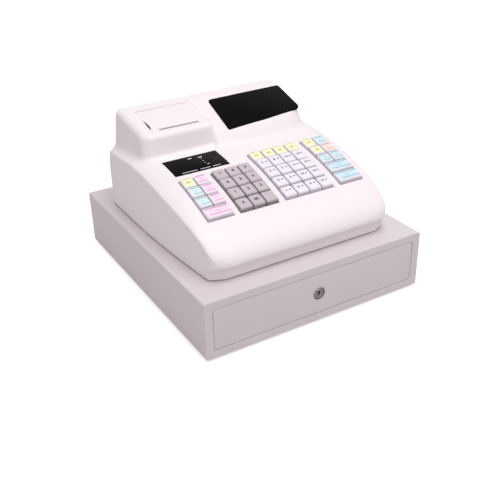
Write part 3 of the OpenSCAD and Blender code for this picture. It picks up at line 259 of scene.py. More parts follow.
# Painted shade for the lock's groove and keyway: near black
LOCK_SHADE = Finish("lock_core_shadow", "#1F1E20", 0.5, Relief.POLISHED, relief_mm=0.6, mottle=0.05)
# High-impact polystyrene of a till tray: dark, satin
TRAY = Finish("polystyrene_dark_grey", "#35353A", 0.45, relief_mm=0.9, mottle=0.05)
# Inner frames: dark moulded plastic, a little duller than the case
FRAME_ABS = Finish("abs_moulded_dark_grey", "#505056", 0.5, relief_mm=0.8, mottle=0.05)
# Moulded rubber of feet, platen and gland: matt and deep grey
RUBBER = Finish("rubber_black_moulded", "#242427", 0.75, relief_mm=0.9, mottle=0.08)
# Pressed silicone of the dome sheet: pale, matt and slightly translucent
SILICONE = Finish("silicone_sheet_pressed", "#D3CFC8", 0.55, relief_mm=1.2, subsurface=0.1)
# Fibreglass boards under green solder mask: satin, with the weave's faint unevenness
FIBREGLASS = Finish("fibreglass_board_solder_mask", "#2F6B45", 0.35, relief_mm=0.6, mottle=0.12)
# Smoked acrylic: black, polished, with a clear hard surface
ACRYLIC = Finish("acrylic_smoked_polished", "#0A090C", 0.16, Relief.POLISHED, relief_mm=3.0, mottle=0.1,
                 ior=1.1)
# Screen inks on the back of the status window: flat white, and a grey that hardly shows
ACRYLIC_PRINT = Finish("screen_ink_white", "#E9E9EE", 0.5, Relief.POLISHED, relief_mm=1.0, mottle=0.02)
ACRYLIC_GREY = Finish("screen_ink_dark_grey", "#2B2B31", 0.45, Relief.POLISHED, relief_mm=1.0, mottle=0.02)
# Calendered thermal paper: even and nearly white
PAPER = Finish("thermal_paper_calendered", "#F5F3EE", 0.6, relief_mm=0.5, relief_depth_mm=0.01, mottle=0.01)
# Varnished steel laminations of the transformer: grey, with fine parallel lines
LAMINATION = Finish("steel_laminations_varnished", "#6F6D70", 0.45, Relief.BRUSHED, relief_mm=0.8,
                    relief_depth_mm=0.03, mottle=0.1, metallic=0.6)
# Caps of the label keys: clear-coated white polycarbonate
CAP_WHITE = Finish("polycarbonate_cap_white", "#ECE7EF", 0.3, relief_mm=0.8, relief_depth_mm=0.006,
                   mottle=0.008)
# Caps of the number keys: grained ABS in a grey mauve
CAP_GREY = Finish("abs_cap_grey_mauve", "#C9BCC3", 0.42, relief_mm=0.6, mottle=0.015)
# Painted shade: the caps' skirts are given a darker colour than their tops, so that the gaps between caps
# read as crisp dark lines
CAP_WHITE_SKIRT_SHADE = Finish("cap_white_skirt_painted_shade", "#C9C1CC", 0.4, relief_mm=0.8,
                         relief_depth_mm=0.006, mottle=0.01)
CAP_GREY_SKIRT_SHADE = Finish("cap_grey_skirt_painted_shade", "#8E8389", 0.5, relief_mm=0.6, mottle=0.02)
# Tear bar of the printer: grey moulded plastic
BAR_GREY = Finish("abs_tear_bar_grey", "#9C9297", 0.45, relief_mm=0.6, mottle=0.02)
# Pad-printed ink of the numbers
INK_DARK = Finish("pad_print_ink_dark", "#2B2530", 0.5, Relief.POLISHED, relief_mm=1.0, mottle=0.02)


class Tint(Enum):
    """Paper labels under the caps: ground, lettering ink and edge."""

    YELLOW = ("yellow", "#F8F6C6", "#CFCB86", "#D9D39A")
    CYAN = ("cyan", "#DAF5F3", "#6FA0A6", "#8FBFC0")
    PINK = ("pink", "#FADFF1", "#C65AA6", "#D584BE")
    BLUE = ("blue", "#D3ECF8", "#5F92B0", "#8AB4CB")
    RED = ("red", "#FBE4DF", "#DC6452", "#E08D80")
    WHITE = ("white", "#F1EDF4", "#332C40", "#BDB3C4")

    def finishes(self) -> tuple[Finish, Finish, Finish]:
        """Lists the label's three finishes.

        Returns:
            Finishes of the ground, the ink and the edge.
        """
        name, *codes = self.value
        return tuple(Finish(f"printed_label_{name}_{part}", code, 0.3, Relief.POLISHED, relief_mm=1.0,
                            mottle=0.01)
                     for part, code in zip(("ground", "ink", "edge"), codes))


# ---------------------------------------------------------------- meshes
class Shape:
    """A mesh under construction, in millimetres, with a finish for each face."""

    def __init__(self, place: Place = plain) -> None:
        """Starts an empty shape.

        Args:
            place: turns local millimetres into the row frame's millimetres.
        """
        self.points: list[Point] = []
        self.faces: list[Sequence[int]] = []
        self.marks: list[int] = []
        self.finishes: list[Finish] = []
        self.place = place

    def put(self, points: Sequence[Point], faces: Sequence[Sequence[int]], finish: Finish) -> None:
        """Adds points and faces.

        Args:
            points: corners in local millimetres.
            faces: corner indexes of each face, within these points.
            finish: the finish of all these faces.
        """
        if finish not in self.finishes:
            self.finishes.append(finish)
        base, mark = len(self.points), self.finishes.index(finish)
        self.points += [self.place(*p) for p in points]
        self.faces += [[base + i for i in f] for f in faces]
        self.marks += [mark] * len(faces)

    def loft(self, rings: Sequence[Ring], finish: Finish, cap_start: bool = True,
             cap_end: bool = True) -> None:
        """Skins rings of equal length, from the first to the last.

        Args:
            rings: closed rings, turning anticlockwise seen from the last one.
            finish: the finish of the skin.
            cap_start: closes the first ring.
            cap_end: closes the last ring.
        """
        n = len(rings[0])
        points = [p for r in rings for p in r]
        faces = [[k * n + i, k * n + (i + 1) % n, (k + 1) * n + (i + 1) % n, (k + 1) * n + i]
                 for k in range(len(rings) - 1) for i in range(n)]
        if cap_start:
            faces.append(list(range(n - 1, -1, -1)))
        if cap_end:
            faces.append([(len(rings) - 1) * n + i for i in range(n)])
        self.put(points, faces, finish)

    def mesh(self, name: str, sharp: float = 32) -> bpy.types.Object:
        """Makes the Blender object.

        Args:
            name: the object's name.
            sharp: angle in degrees above which an edge stays sharp.

        Returns:
            The object, linked to the scene.
        """
        data = bpy.data.meshes.new(name)
        data.from_pydata([tuple(c * MM for c in p) for p in self.points], [], self.faces)
        data.polygons.foreach_set("material_index", self.marks)
        for finish in self.finishes:
            data.materials.append(finish.material())
        return link(name, data, sharp)


def smooth(data: bpy.types.Mesh, sharp: float) -> None:
    """Shades a mesh smooth, and keeps the edges above an angle in degrees sharp."""
    data.polygons.foreach_set("use_smooth", [True] * len(data.polygons))
    data.set_sharp_from_angle(angle=math.radians(sharp))


def link(name: str, data: bpy.types.Mesh, sharp: float = 32) -> bpy.types.Object:
    """Links a mesh into the scene with smooth shading that keeps its edges.

    Args:
        name: the new object's name.
        data: its mesh.
        sharp: angle in degrees above which an edge stays sharp.

    Returns:
        The object.
    """
    data.validate()
    smooth(data, sharp)
    made = bpy.data.objects.new(name, data)
    bpy.context.scene.collection.objects.link(made)
    return made


def rounded_rect(x0: float, y0: float, x1: float, y1: float, r: float, z: float, steps: int = 4) -> Ring:
    """Rounded rectangle at height z, anticlockwise seen from above.

    Args:
        x0: left side.
        y0: front side.
        x1: right side.
        y1: back side.
        r: corner radius.
        z: height of the ring.
        steps: pieces in each corner.

    Returns:
        The ring's points.
    """
    ring = []
    corners = ((x1 - r, y1 - r, 0), (x0 + r, y1 - r, 90), (x0 + r, y0 + r, 180), (x1 - r, y0 + r, 270))
    for cx, cy, start in corners:
        for k in range(steps + 1):
            a = math.radians(start + 90 * k / steps)
            ring.append((cx + r * math.cos(a), cy + r * math.sin(a), z))
    return ring


def flat(ring: Ring) -> list[Spot]:
    """A ring's points without their height."""
    return [(x, y) for x, y, _ in ring]


def circle(cx: float, cy: float, r: float, sides: int) -> list[Spot]:
    """Points of a circle, anticlockwise."""
    return [(cx + r * math.cos(t), cy + r * math.sin(t)) for t in np.linspace(0, 2 * math.pi, sides + 1)[:-1]]


def rounded_outline(corners: Sequence[tuple[float, float, float]], steps: int = 8) -> list[Spot]:
    """Rounds each corner of a polygon.

    Args:
        corners: x, y and radius of each corner.
        steps: pieces in each corner.

    Returns:
        The outline's points, in the same turning sense.
    """
    out: list[Spot] = []
    n = len(corners)
    for i, (cx, cy, r) in enumerate(corners):
        c = Vector((cx, cy))
        if r <= 0:
            out.append((cx, cy))
            continue
        a = (Vector(corners[i - 1][:2]) - c).normalized()
        b = (Vector(corners[(i + 1) % n][:2]) - c).normalized()
        half = a.angle(b) / 2
        mid = c + (a + b).normalized() * (r / math.sin(half))
        p0, p1 = c + a * (r / math.tan(half)) - mid, c + b * (r / math.tan(half)) - mid
        a0, a1 = math.atan2(p0.y, p0.x), math.atan2(p1.y, p1.x)
        turn = (a1 - a0 + 3 * math.pi) % (2 * math.pi) - math.pi
        for k in range(steps + 1):
            t = a0 + turn * k / steps
            out.append((mid.x + r * math.cos(t), mid.y + r * math.sin(t)))
    return out


def slab(points: Sequence[Spot], low: float, high: float, edge: float = 0.0) -> list[Ring]:
    """Rings of a flat plate with a small chamfer around its top.

    Args:
        points: outline, anticlockwise.
        low: height of the underside.
        high: height of the top.
        edge: size of the rounding at the top.

    Returns:
        Rings from the underside to the top.
    """
    rings = [[(x, y, low) for x, y in points]]
    if edge <= 0:
        return rings + [[(x, y, high) for x, y in points]]
    n = len(points)
    outward = []
    for i in range(n):
        t = Vector(points[(i + 1) % n]) - Vector(points[i - 1])
        outward.append(Vector((t.y, -t.x)).normalized())
    for a in (0, 30, 60, 90):
        inset = edge * (1 - math.cos(math.radians(a)))
        z = high - edge * (1 - math.sin(math.radians(a)))
        rings.append([(p[0] - o.x * inset, p[1] - o.y * inset, z) for p, o in zip(points, outward)])
    return rings


def recolour(piece: bpy.types.Object, finish: Finish, sharp: float) -> None:
    """Gives a carved piece one finish and shades it again.

    Args:
        piece: the piece.
        finish: its finish.
        sharp: angle in degrees above which an edge stays sharp.
    """
    piece.data.materials.clear()
    piece.data.materials.append(finish.material())
    piece.data.polygons.foreach_set("material_index", [0] * len(piece.data.polygons))
    smooth(piece.data, sharp)


def tilted(y0: float, z0: float, degrees: float) -> Place:
    """A plane that rises to the back.

    Args:
        y0: where it starts.
        z0: its height there.
        degrees: its slope.

    Returns:
        A function from x, up the slope and out of the plane to the row frame.
    """
    c, s = math.cos(math.radians(degrees)), math.sin(math.radians(degrees))
    return lambda x, u, n: (x, y0 + u * c - n * s, z0 + u * s + n * c)


def carve(target: bpy.types.Object, cutter: bpy.types.Object) -> None:
    """Cuts a closed mesh out of another and removes the cutter.

    Args:
        target: the object that is cut.
        cutter: the closed mesh that is taken away.
    """
    step = target.modifiers.new("cut", "BOOLEAN")
    step.operation, step.object, step.solver = "DIFFERENCE", cutter, "MANIFOLD"
    bpy.context.view_layer.update()
    cut = bpy.data.meshes.new_from_object(target.evaluated_get(bpy.context.evaluated_depsgraph_get()))
    target.modifiers.clear()
    old, target.data = target.data, cut
    bpy.data.meshes.remove(old)
    bpy.data.objects.remove(cutter)


def surface_net(values: np.ndarray, low: np.ndarray, cell: float) -> tuple[np.ndarray, np.ndarray]:
    """Skins the zero level of a grid of distances.

    Args:
        values: distances on a regular grid, negative inside.
        low: the grid's lowest corner.
        cell: distance between grid points.

    Returns:
        Points, and quads that face outward.
    """
    inside = values < 0
    counts = sum(inside[i:i - 1 or None, j:j - 1 or None, k:k - 1 or None].astype(np.int8)
                 for i in (0, 1) for j in (0, 1) for k in (0, 1))
    active = np.argwhere((counts > 0) & (counts < 8))
    number = np.full(counts.shape, -1, np.int64)
    number[tuple(active.T)] = np.arange(len(active))
    corners = np.array([(i, j, k) for i in (0, 1) for j in (0, 1) for k in (0, 1)])
    level = np.stack([values[tuple((active + c).T)] for c in corners], 1)
    total, hits = np.zeros((len(active), 3)), np.zeros((len(active), 1))
    for a in range(8):
        for b in range(a + 1, 8):
            if np.abs(corners[a] - corners[b]).sum() != 1:
                continue
            fa, fb = level[:, a], level[:, b]
            cross = (fa < 0) != (fb < 0)
            t = np.where(cross, fa / np.where(cross, fa - fb, 1), 0)[:, None]
            total += np.where(cross[:, None], corners[a] + t * (corners[b] - corners[a]), 0)
            hits += cross[:, None]
    points = low + (active + total / hits) * cell
    quads = []
    for axis in range(3):
        u, v = (axis + 1) % 3, (axis + 2) % 3
        first = [slice(None)] * 3
        second = [slice(None)] * 3
        first[axis], second[axis] = slice(0, -1), slice(1, None)
        start, end = inside[tuple(first)], inside[tuple(second)]
        edges = np.argwhere(start != end)
        edges = edges[(edges[:, u] > 0) & (edges[:, v] > 0) & (edges[:, u] < values.shape[u] - 1)
                      & (edges[:, v] < values.shape[v] - 1)]
        ring = []
        for du, dv in ((1, 1), (0, 1), (0, 0), (1, 0)):
            cells = edges.copy()
            cells[:, u] -= du
            cells[:, v] -= dv
            ring.append(number[tuple(cells.T)])
        quad = np.stack(ring, 1)
        outward = start[tuple(edges.T)]
        quads.append(np.where(outward[:, None], quad, quad[:, ::-1]))
    return points, np.concatenate(quads)


# ---------------------------------------------------------------- planes of the case
@dataclass(frozen=True)
class Deck:
    """The curved deck and the planes of the keys and the status window on it."""

    # foot of the case over the table, and its rear wall
    case_z: float = 84.5
    case_back: float = 132.8
    # the deck's arc, which ends level at its crest
    crest_y: float = 57.3
    crest_h: float = 93.9
    radius: float = 430
    # front edges of the key plane and the status window, the plane's slope and the window's length
    keys_y: float = -108.7
    key_slope: float = 15.8768
    status_y: float = -18.628
    status_l: float = 41.7

    def height(self, y: float) -> float:
        """Finds how high the deck's middle line stands above the foot of the case.

        Args:
            y: the place along the deck.

        Returns:
            The height.
        """
        if y >= self.crest_y:
            return self.crest_h
        return self.crest_h - self.radius + math.sqrt(self.radius ** 2 - (y - self.crest_y) ** 2)

    def keys(self) -> Place:
        """The plane of the keys."""
        return tilted(self.keys_y, self.case_z + self.height(self.keys_y), self.key_slope)

    def status(self) -> Place:
        """Lays the plane of the status window through the deck at its front and rear edge.

        Returns:
            The plane.
        """
        low, high = self.height(self.status_y), self.height(self.status_y + self.status_l)
        slope = math.degrees(math.atan((high - low) / self.status_l))
        return tilted(self.status_y, self.case_z + low, slope)

    def bulge(self, s: float) -> float:
        """Finds how high the deck rises over the key plane.

        Args:
            s: the distance up the key plane.

        Returns:
            The height, square to the plane.
        """
        c, t = math.cos(math.radians(self.key_slope)), math.sin(math.radians(self.key_slope))
        return (self.height(self.keys_y + s * c) - self.height(self.keys_y) - s * t) / c


DECK = Deck()


@dataclass(frozen=True)
class Slope:
    """A straight slope of the head from its brow to its crest, in y and in height above the case's foot."""

    y: float
    h: float
    crest_y: float
    crest_h: float

    def angle(self) -> float:
        """The slope's angle in radians."""
        return math.atan2(self.crest_h - self.h, self.crest_y - self.y)

    def place(self) -> Place:
        """The plane of the slope, starting at the brow."""
        return tilted(self.y, DECK.case_z + self.h, math.degrees(self.angle()))


PRINTER_SLOPE = Slope(43.5, 124.4, 108.8, 138.1)
LENS_SLOPE = Slope(34.5, 110.8, 105.0, 138.2)


# ---------------------------------------------------------------- form of the case
class Field2D:
    """Distances to a closed outline, kept on a fine grid of y and height."""

    LOW = (-190.0, -30.0)
    HIGH = (160.0, 170.0)
    STEP = 0.5

    def __init__(self, outline: Sequence[Spot]) -> None:
        """Measures the outline's distances.

        Args:
            outline: corners of the closed outline.
        """
        axes = [np.arange(a, b, self.STEP) for a, b in zip(self.LOW, self.HIGH)]
        y, h = np.meshgrid(*axes, indexing="ij")
        line = np.array(outline)
        best, inside = np.full(y.shape, np.inf), np.zeros(y.shape, bool)
        for (ay, ah), (by, bh) in zip(line, np.roll(line, -1, 0)):
            dy, dh = by - ay, bh - ah
            t = np.clip(((y - ay) * dy + (h - ah) * dh) / max(dy * dy + dh * dh, 1e-12), 0, 1)
            best = np.minimum(best, (y - ay - t * dy) ** 2 + (h - ah - t * dh) ** 2)
            if ah != bh:
                inside ^= ((ah > h) != (bh > h)) & (y < ay + (h - ah) * dy / dh)
        self.values = np.where(inside, -1, 1) * np.sqrt(best)

    def at(self, y: np.ndarray, h: np.ndarray) -> np.ndarray:
        """Reads the distance at any points, between the grid's own.

        Args:
            y: the points' y.
            h: the points' height.

        Returns:
            The distance, negative inside.
        """
        p = self.values
        u = np.clip((y - self.LOW[0]) / self.STEP, 0, p.shape[0] - 1.001)
        v = np.clip((h - self.LOW[1]) / self.STEP, 0, p.shape[1] - 1.001)
        i, j = u.astype(int), v.astype(int)
        a, b = u - i, v - j
        return (p[i, j] * (1 - a) * (1 - b) + p[i + 1, j] * a * (1 - b)
                + p[i, j + 1] * (1 - a) * b + p[i + 1, j + 1] * a * b)


@dataclass
class HeadBlock:
    """One of the two blocks of the head, as places in y and heights above the case's foot.

    The corner holds the half axes of the rounding between side and face, seen from above.
    """

    foot: Spot
    slope: Slope
    crest_r: float
    ridge: Spot
    corner: Spot
    brow_r: float
    side_r: float = 8.0
    reach: float = 200.0
    blend: float = 0.7

    def __post_init__(self) -> None:
        """Measures the roof: the slope, its crest and the flat top, without the face."""
        slope, (ry, rh), far = self.slope, self.ridge, self.reach
        fall = (slope.crest_h - slope.h) / (slope.crest_y - slope.y)
        flat_rise = (rh - slope.crest_h) / (ry - slope.crest_y)
        front, front_h, rear = slope.y - far, slope.h - far * fall, ry + far
        roof = [(front, front_h, 0), (slope.crest_y, slope.crest_h, self.crest_r),
                (rear, rh + far * flat_rise, 0), (rear, -far, 0), (front, -far - far * fall, 0)]
        self.roof = Field2D(rounded_outline(roof, steps=12))

    def distance(self, y: np.ndarray, h: np.ndarray, side: np.ndarray) -> np.ndarray:
        """Distance to the block.

        Args:
            y: the points' y.
            h: the points' height.
            side: distance to the block's outer side.

        Returns:
            The distance, negative inside.
        """
        dy, dh = self.slope.y - self.foot[0], self.slope.h - self.foot[1]
        n = math.hypot(dy, dh)
        face = ((h - self.foot[1]) * dy - (y - self.foot[0]) * dh) / n
        fall = self.slope.angle()
        along = (dh * math.sin(fall) + dy * math.cos(fall)) / n
        # seen from above, an elliptic corner joins the face and the side
        a, b = self.corner
        u, v = np.maximum(side / a + 1, 0), np.maximum(face / b + 1, 0)
        bend = (np.hypot(u, v) - 1) * np.where(u > v, a, b)
        plan = np.where((u > 0) & (v > 0), bend, np.maximum(side, face))
        # the roof's edge has its own radius over the side and over the face
        front = smooth_step((v - u) * self.blend + 0.5)
        radius = self.side_r + (self.brow_r - self.side_r) * front
        return round_max(plan, self.roof.at(y, h), radius, along * front)


@dataclass
class CaseForm:
    """The moulded upper case as a distance field, in x, y and height above its foot."""

    # cheeks: width, taper to the front, front corners and lean towards the deck
    half_width: float = 147.0
    taper_y: float = 60.0
    taper_r: float = 1700.0
    corner_r: float = 16.0
    lean_h: float = 52.0
    lean_r: float = 200.0
    pad_h: float = 1.6
    # nose: its front, its foot, where it leaves the deck and how full its curve is
    nose_y: float = -157.5
    nose_h: float = 21.5
    nose_start: float = -112.0
    nose_pull: float = 0.62
    lip_r: float = 3.0
    apron_h: float = 18.5
    # shoulder between deck and cheek: its radius and width for each millimetre that it falls
    shoulder_r: float = 6.58
    shoulder_w: float = 3.487
    fall_y: tuple[float, ...] = (-112.0, -40.25, 57.3, 132.8)
    fall: tuple[float, ...] = (3.0, 8.0, 8.0, 12.5)
    crease_r: float = 0.9
    # head: width, draft of its sides, taper of the left side and the step between its blocks
    head_half: float = 134.5
    head_draft: float = 0.116
    left_narrow: float = 4.5
    narrow_y: float = 115.0
    narrow_l: float = 70.0
    narrow_most: float = 1.3
    step_x: float = -22.5
    step_lap: float = 2.0
    step_r: float = 3.5
    head_fillet: float = 7.0
    rear_r: float = 6.5
    ridge_h: float = 140.77
    # bow of the display block's face
    bow: float = 0.0011
    bow_x: float = 58.0
    bow_most: float = 8.0
    # cosines: of the angle between deck and head, and of the cheeks' mean lean
    head_turn: float = 0.2
    cheek_turn: float = 0.98
    cell: float = 1.25
    beyond: float = 60.0

    # points along the outline's three stretches
    DECK_POINTS = 120
    NOSE_POINTS = 40
    LIP_POINTS = 9
    # box of the grid, slices worked at once, and step and least steepness when points settle
    LOW = (-152.0, -163.0, -4.0)
    HIGH = (152.0, 137.0, 146.0)
    BATCH = 16
    PROBE = 0.05
    LEAST = 0.2

    def __post_init__(self) -> None:
        """Works out the outline of deck and nose, and the two blocks of the head."""
        rear = DECK.case_back + self.beyond
        deck = [(y, DECK.height(y)) for y in np.linspace(rear, self.nose_start, self.DECK_POINTS)]
        fall = math.asin((DECK.crest_y - self.nose_start) / DECK.radius)
        # a cubic curve from the deck's end, along the deck first, down to the nose's foot
        a = np.array(deck[-1])
        reach = (self.nose_start - self.nose_y) / math.cos(fall)
        b = a - self.nose_pull * reach * np.array([math.cos(fall), math.sin(fall)])
        corner_h = a[1] - reach * math.sin(fall)
        c = np.array([self.nose_y, self.nose_h + (corner_h - self.nose_h) * self.nose_pull])
        d = np.array([self.nose_y, self.nose_h])
        curve = [tuple((1 - t) ** 3 * a + 3 * t * (1 - t) ** 2 * b + 3 * t * t * (1 - t) * c + t ** 3 * d)
                 for t in np.linspace(0, 1, self.NOSE_POINTS)[1:]]
        lip_y = self.nose_y + self.lip_r
        lip = [(self.nose_y + self.lip_r * (1 - math.cos(t)), self.nose_h - self.lip_r * math.sin(t))
               for t in np.linspace(0, math.pi / 2, self.LIP_POINTS)[1:]]
        self.profile = Field2D(deck + curve + lip + [(lip_y, -self.beyond), (rear, -self.beyond)])
        line = np.array(sorted(deck + curve))
        self.line_y, self.line_h = line[:, 0], line[:, 1]
        ridge = (DECK.case_back, self.ridge_h)
        self.printer = HeadBlock(foot=(36.5, DECK.crest_h), slope=PRINTER_SLOPE, crest_r=40, ridge=ridge,
                                 corner=(14, 14), brow_r=12)
        self.display = HeadBlock(foot=(21.5, DECK.crest_h), slope=LENS_SLOPE, crest_r=12, ridge=ridge,
                                 corner=(44, 25), brow_r=3)

    def _side(self, y: np.ndarray) -> np.ndarray:
        """Finds the half width of the case, with its taper and the round of the front corners.

        Args:
            y: the points' y.

        Returns:
            The half width at each.
        """
        d = np.maximum(self.taper_y - y, 0)
        c = np.clip(self.nose_y + self.corner_r - y, 0, self.corner_r)
        return (self.half_width - self.taper_r + np.sqrt(self.taper_r ** 2 - d * d)
                - self.corner_r + np.sqrt(self.corner_r ** 2 - c * c))

    def _lean(self, h: np.ndarray) -> np.ndarray:
        """How far the cheeks lean in at a height."""
        d = np.clip(h - self.lean_h, 0, DECK.crest_h - self.fall[1] - self.lean_h)
        return self.lean_r - np.sqrt(self.lean_r ** 2 - d * d)

    def _head(self, x: np.ndarray, y: np.ndarray, h: np.ndarray) -> np.ndarray:
        """Distance to the head, whose two blocks overlap a little at the step.

        Args:
            x: the points' x.
            y: their y.
            h: their height above the case's foot.

        Returns:
            The distance, negative inside.
        """
        narrow = self.left_narrow * np.clip((self.narrow_y - y) / self.narrow_l, 0, self.narrow_most)
        wall = self.head_half - self.head_draft * (h - DECK.crest_h)
        bent = y - np.minimum(self.bow * (x - self.bow_x) ** 2, self.bow_most)
        printer = self.printer.distance(y, h, -x - wall + narrow)
        display = self.display.distance(bent, h, x - wall)
        printer = round_max(printer, x - self.step_x - self.step_lap / 2, self.step_r)
        display = round_max(display, self.step_x - self.step_lap / 2 - x, self.step_r)
        return round_min(printer, display, self.step_r)

    def distance(self, x: np.ndarray, y: np.ndarray, h: np.ndarray) -> np.ndarray:
        """Distance to the outside of the case.

        Args:
            x: the points' x.
            y: their y.
            h: their height above the case's foot.

        Returns:
            The distance, negative inside.
        """
        across = np.abs(x)
        fall = np.interp(y, self.fall_y, self.fall)
        edge = self._side(y) - self._lean(np.interp(y, self.line_y, self.line_h) - fall)
        shoulder = across - edge + (self.shoulder_w - self.shoulder_r) * fall
        deck = round_max(self.profile.at(y, h), shoulder, self.shoulder_r * fall)
        body = round_min(deck, self._head(x, y, h), self.head_fillet, self.head_turn)
        cheek = (across - self._side(y) + self._lean(h)) * self.cheek_turn
        body = round_max(body, cheek, self.crease_r)
        body = round_max(body, y - DECK.case_back, self.rear_r)
        return np.maximum(body, self.pad_h - h)

    def solid(self, name: str, cell: float, inset: float, settle: int) -> bpy.types.Object:
        """Skins the form.

        Args:
            name: the object's name.
            cell: size of the grid's cells.
            inset: how far inside the form the skin lies.
            settle: how often the points are moved onto the true surface.

        Returns:
            A closed mesh.
        """
        axes = [np.arange(a, b + cell, cell) for a, b in zip(self.LOW, self.HIGH)]
        x, y, h = np.meshgrid(*axes, indexing="ij", sparse=True)
        values = np.empty([len(a) for a in axes])
        for i in range(0, len(axes[0]), self.BATCH):
            part = np.broadcast_arrays(x[i:i + self.BATCH], y, h)
            values[i:i + self.BATCH] = self.distance(*part) + inset
        points, quads = surface_net(values, np.array(self.LOW), cell)
        for _ in range(settle):
            f = self.distance(*points.T) + inset
            g = np.stack([self.distance(*(points + o).T) - self.distance(*(points - o).T)
                          for o in np.eye(3) * self.PROBE], 1) / (2 * self.PROBE)
            move = -(f / np.maximum((g * g).sum(1), self.LEAST))[:, None] * g
            points = points + np.clip(move, -cell / 2, cell / 2)
        points[:, 2] += DECK.case_z
        data = bpy.data.meshes.new(name)
        data.from_pydata(points * MM, [], quads.tolist())
        return link(name, data, sharp=60)


def prism(name: str, place: Place, points: Sequence[Spot], low: float, high: float) -> bpy.types.Object:
    """Makes a closed prism on an outline, for cutting.

    Args:
        name: its name.
        place: the plane it stands on.
        points: its outline, anticlockwise.
        low: height of its underside.
        high: height of its top.

    Returns:
        The cutter.
    """
    shape = Shape(place)
    shape.loft(slab(points, low, high), CASE_ABS)
    return shape.mesh(name)


def block(name: str, place: Place, low: Point, high: Point) -> bpy.types.Object:
    """Makes a closed box between two corners, for cutting.

    Args:
        name: its name.
        place: the plane it stands on.
        low: its lowest corner.
        high: its highest corner.

    Returns:
        The cutter.
    """
    (x0, y0, z0), (x1, y1, z1) = low, high
    return prism(name, place, [(x0, y0), (x1, y0), (x1, y1), (x0, y1)], z0, z1)


# ---------------------------------------------------------------- lens and windows
@dataclass
class Windows:
    """The black display lens and the black status window in the deck."""

    # the panes' thickness, and how far they stand out of the case
    thick: float = 2.0
    lens_top: float = 0.2
    lens_edge: float = 0.5
    status_w: float = 81.0
    status_x: float = -71.5
    status_top: float = 0.3
    status_r: float = 1.2
    status_edge: float = 0.35
    # printed marks: thickness over the pane, depth in it and corner radius
    ink_t: float = 0.04
    ink_root: float = 0.1
    ink_r: float = 0.3

    # corners of the lens: x, distance up the slope, radius, and the way that each grows
    CORNERS = ((0.5, 3.2, 2.0, -1, -1), (62.5, 6.6, 200.0, 0, -1), (128.5, 15.2, 8.0, 1, -1),
               (123.5, 73.2, 4.0, 1, 1), (2.0, 71.8, 5.0, -1, 1))
    # marks of the status window, from its rear to its front: two lamps' labels, a column of dots
    # with fainter ones beside it, and one plain strip at the front; middle, width, length, ink
    MARKS = ((-2.0, 35.6, 6.0, 1.7, ACRYLIC_PRINT), (12.5, 33.6, 6.0, 1.7, ACRYLIC_PRINT),
             (12.0, 29.0, 1.5, 1.1, ACRYLIC_PRINT), (12.0, 23.0, 1.5, 1.1, ACRYLIC_PRINT),
             (12.0, 17.4, 1.5, 1.1, ACRYLIC_PRINT), (3.8, 20.6, 1.0, 0.9, ACRYLIC_GREY),
             (3.8, 15.0, 1.0, 0.9, ACRYLIC_GREY), (14.5, 12.6, 3.4, 1.1, ACRYLIC_PRINT),
             (-17.5, 4.2, 22.0, 1.1, ACRYLIC_PRINT), (5.5, 4.2, 15.0, 1.1, ACRYLIC_PRINT),
             (22.5, 4.2, 12.0, 1.1, ACRYLIC_PRINT))

    def lens_outline(self, grow: float) -> list[Spot]:
        """Outline of the lens, grown by some millimetres."""
        return rounded_outline([(x + sx * grow, y + sy * grow, r + abs(sx) * grow)
                                for x, y, r, sx, sy in self.CORNERS])

    def lens(self) -> bpy.types.Object:
        """Builds the lens.

        Returns:
            The lens with a polished edge.
        """
        shape = Shape(LENS_SLOPE.place())
        outline = self.lens_outline(0)
        shape.loft(slab(outline, self.lens_top - self.thick, self.lens_top, self.lens_edge), ACRYLIC)
        made = shape.mesh("display_lens", sharp=50)
        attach(made, "register")
        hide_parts("display_window")
        return made

    def status(self) -> bpy.types.Object:
        """Builds the status window with its plain printed marks.

        Returns:
            The window.
        """
        place = DECK.status()
        shape = Shape(lambda x, u, n: place(x + self.status_x, u, n))
        half, top = self.status_w / 2, self.status_top
        outline = flat(rounded_rect(-half, 0, half, DECK.status_l, self.status_r, 0))
        shape.loft(slab(outline, top - self.thick, top, self.status_edge), ACRYLIC)
        for x, u, w, l, ink in self.MARKS:
            r = min(self.ink_r, w / 2 - 0.01, l / 2 - 0.01)
            bar = flat(rounded_rect(x - w / 2, u - l / 2, x + w / 2, u + l / 2, r, 0, steps=3))
            shape.loft(slab(bar, top - self.ink_root, top + self.ink_t), ink)
        made = shape.mesh("status_panel", sharp=50)
        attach(made, "register")
        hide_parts("status_window")
        return made

    def build(self) -> list[bpy.types.Object]:
        """Builds both windows."""
        return [self.lens(), self.status()]


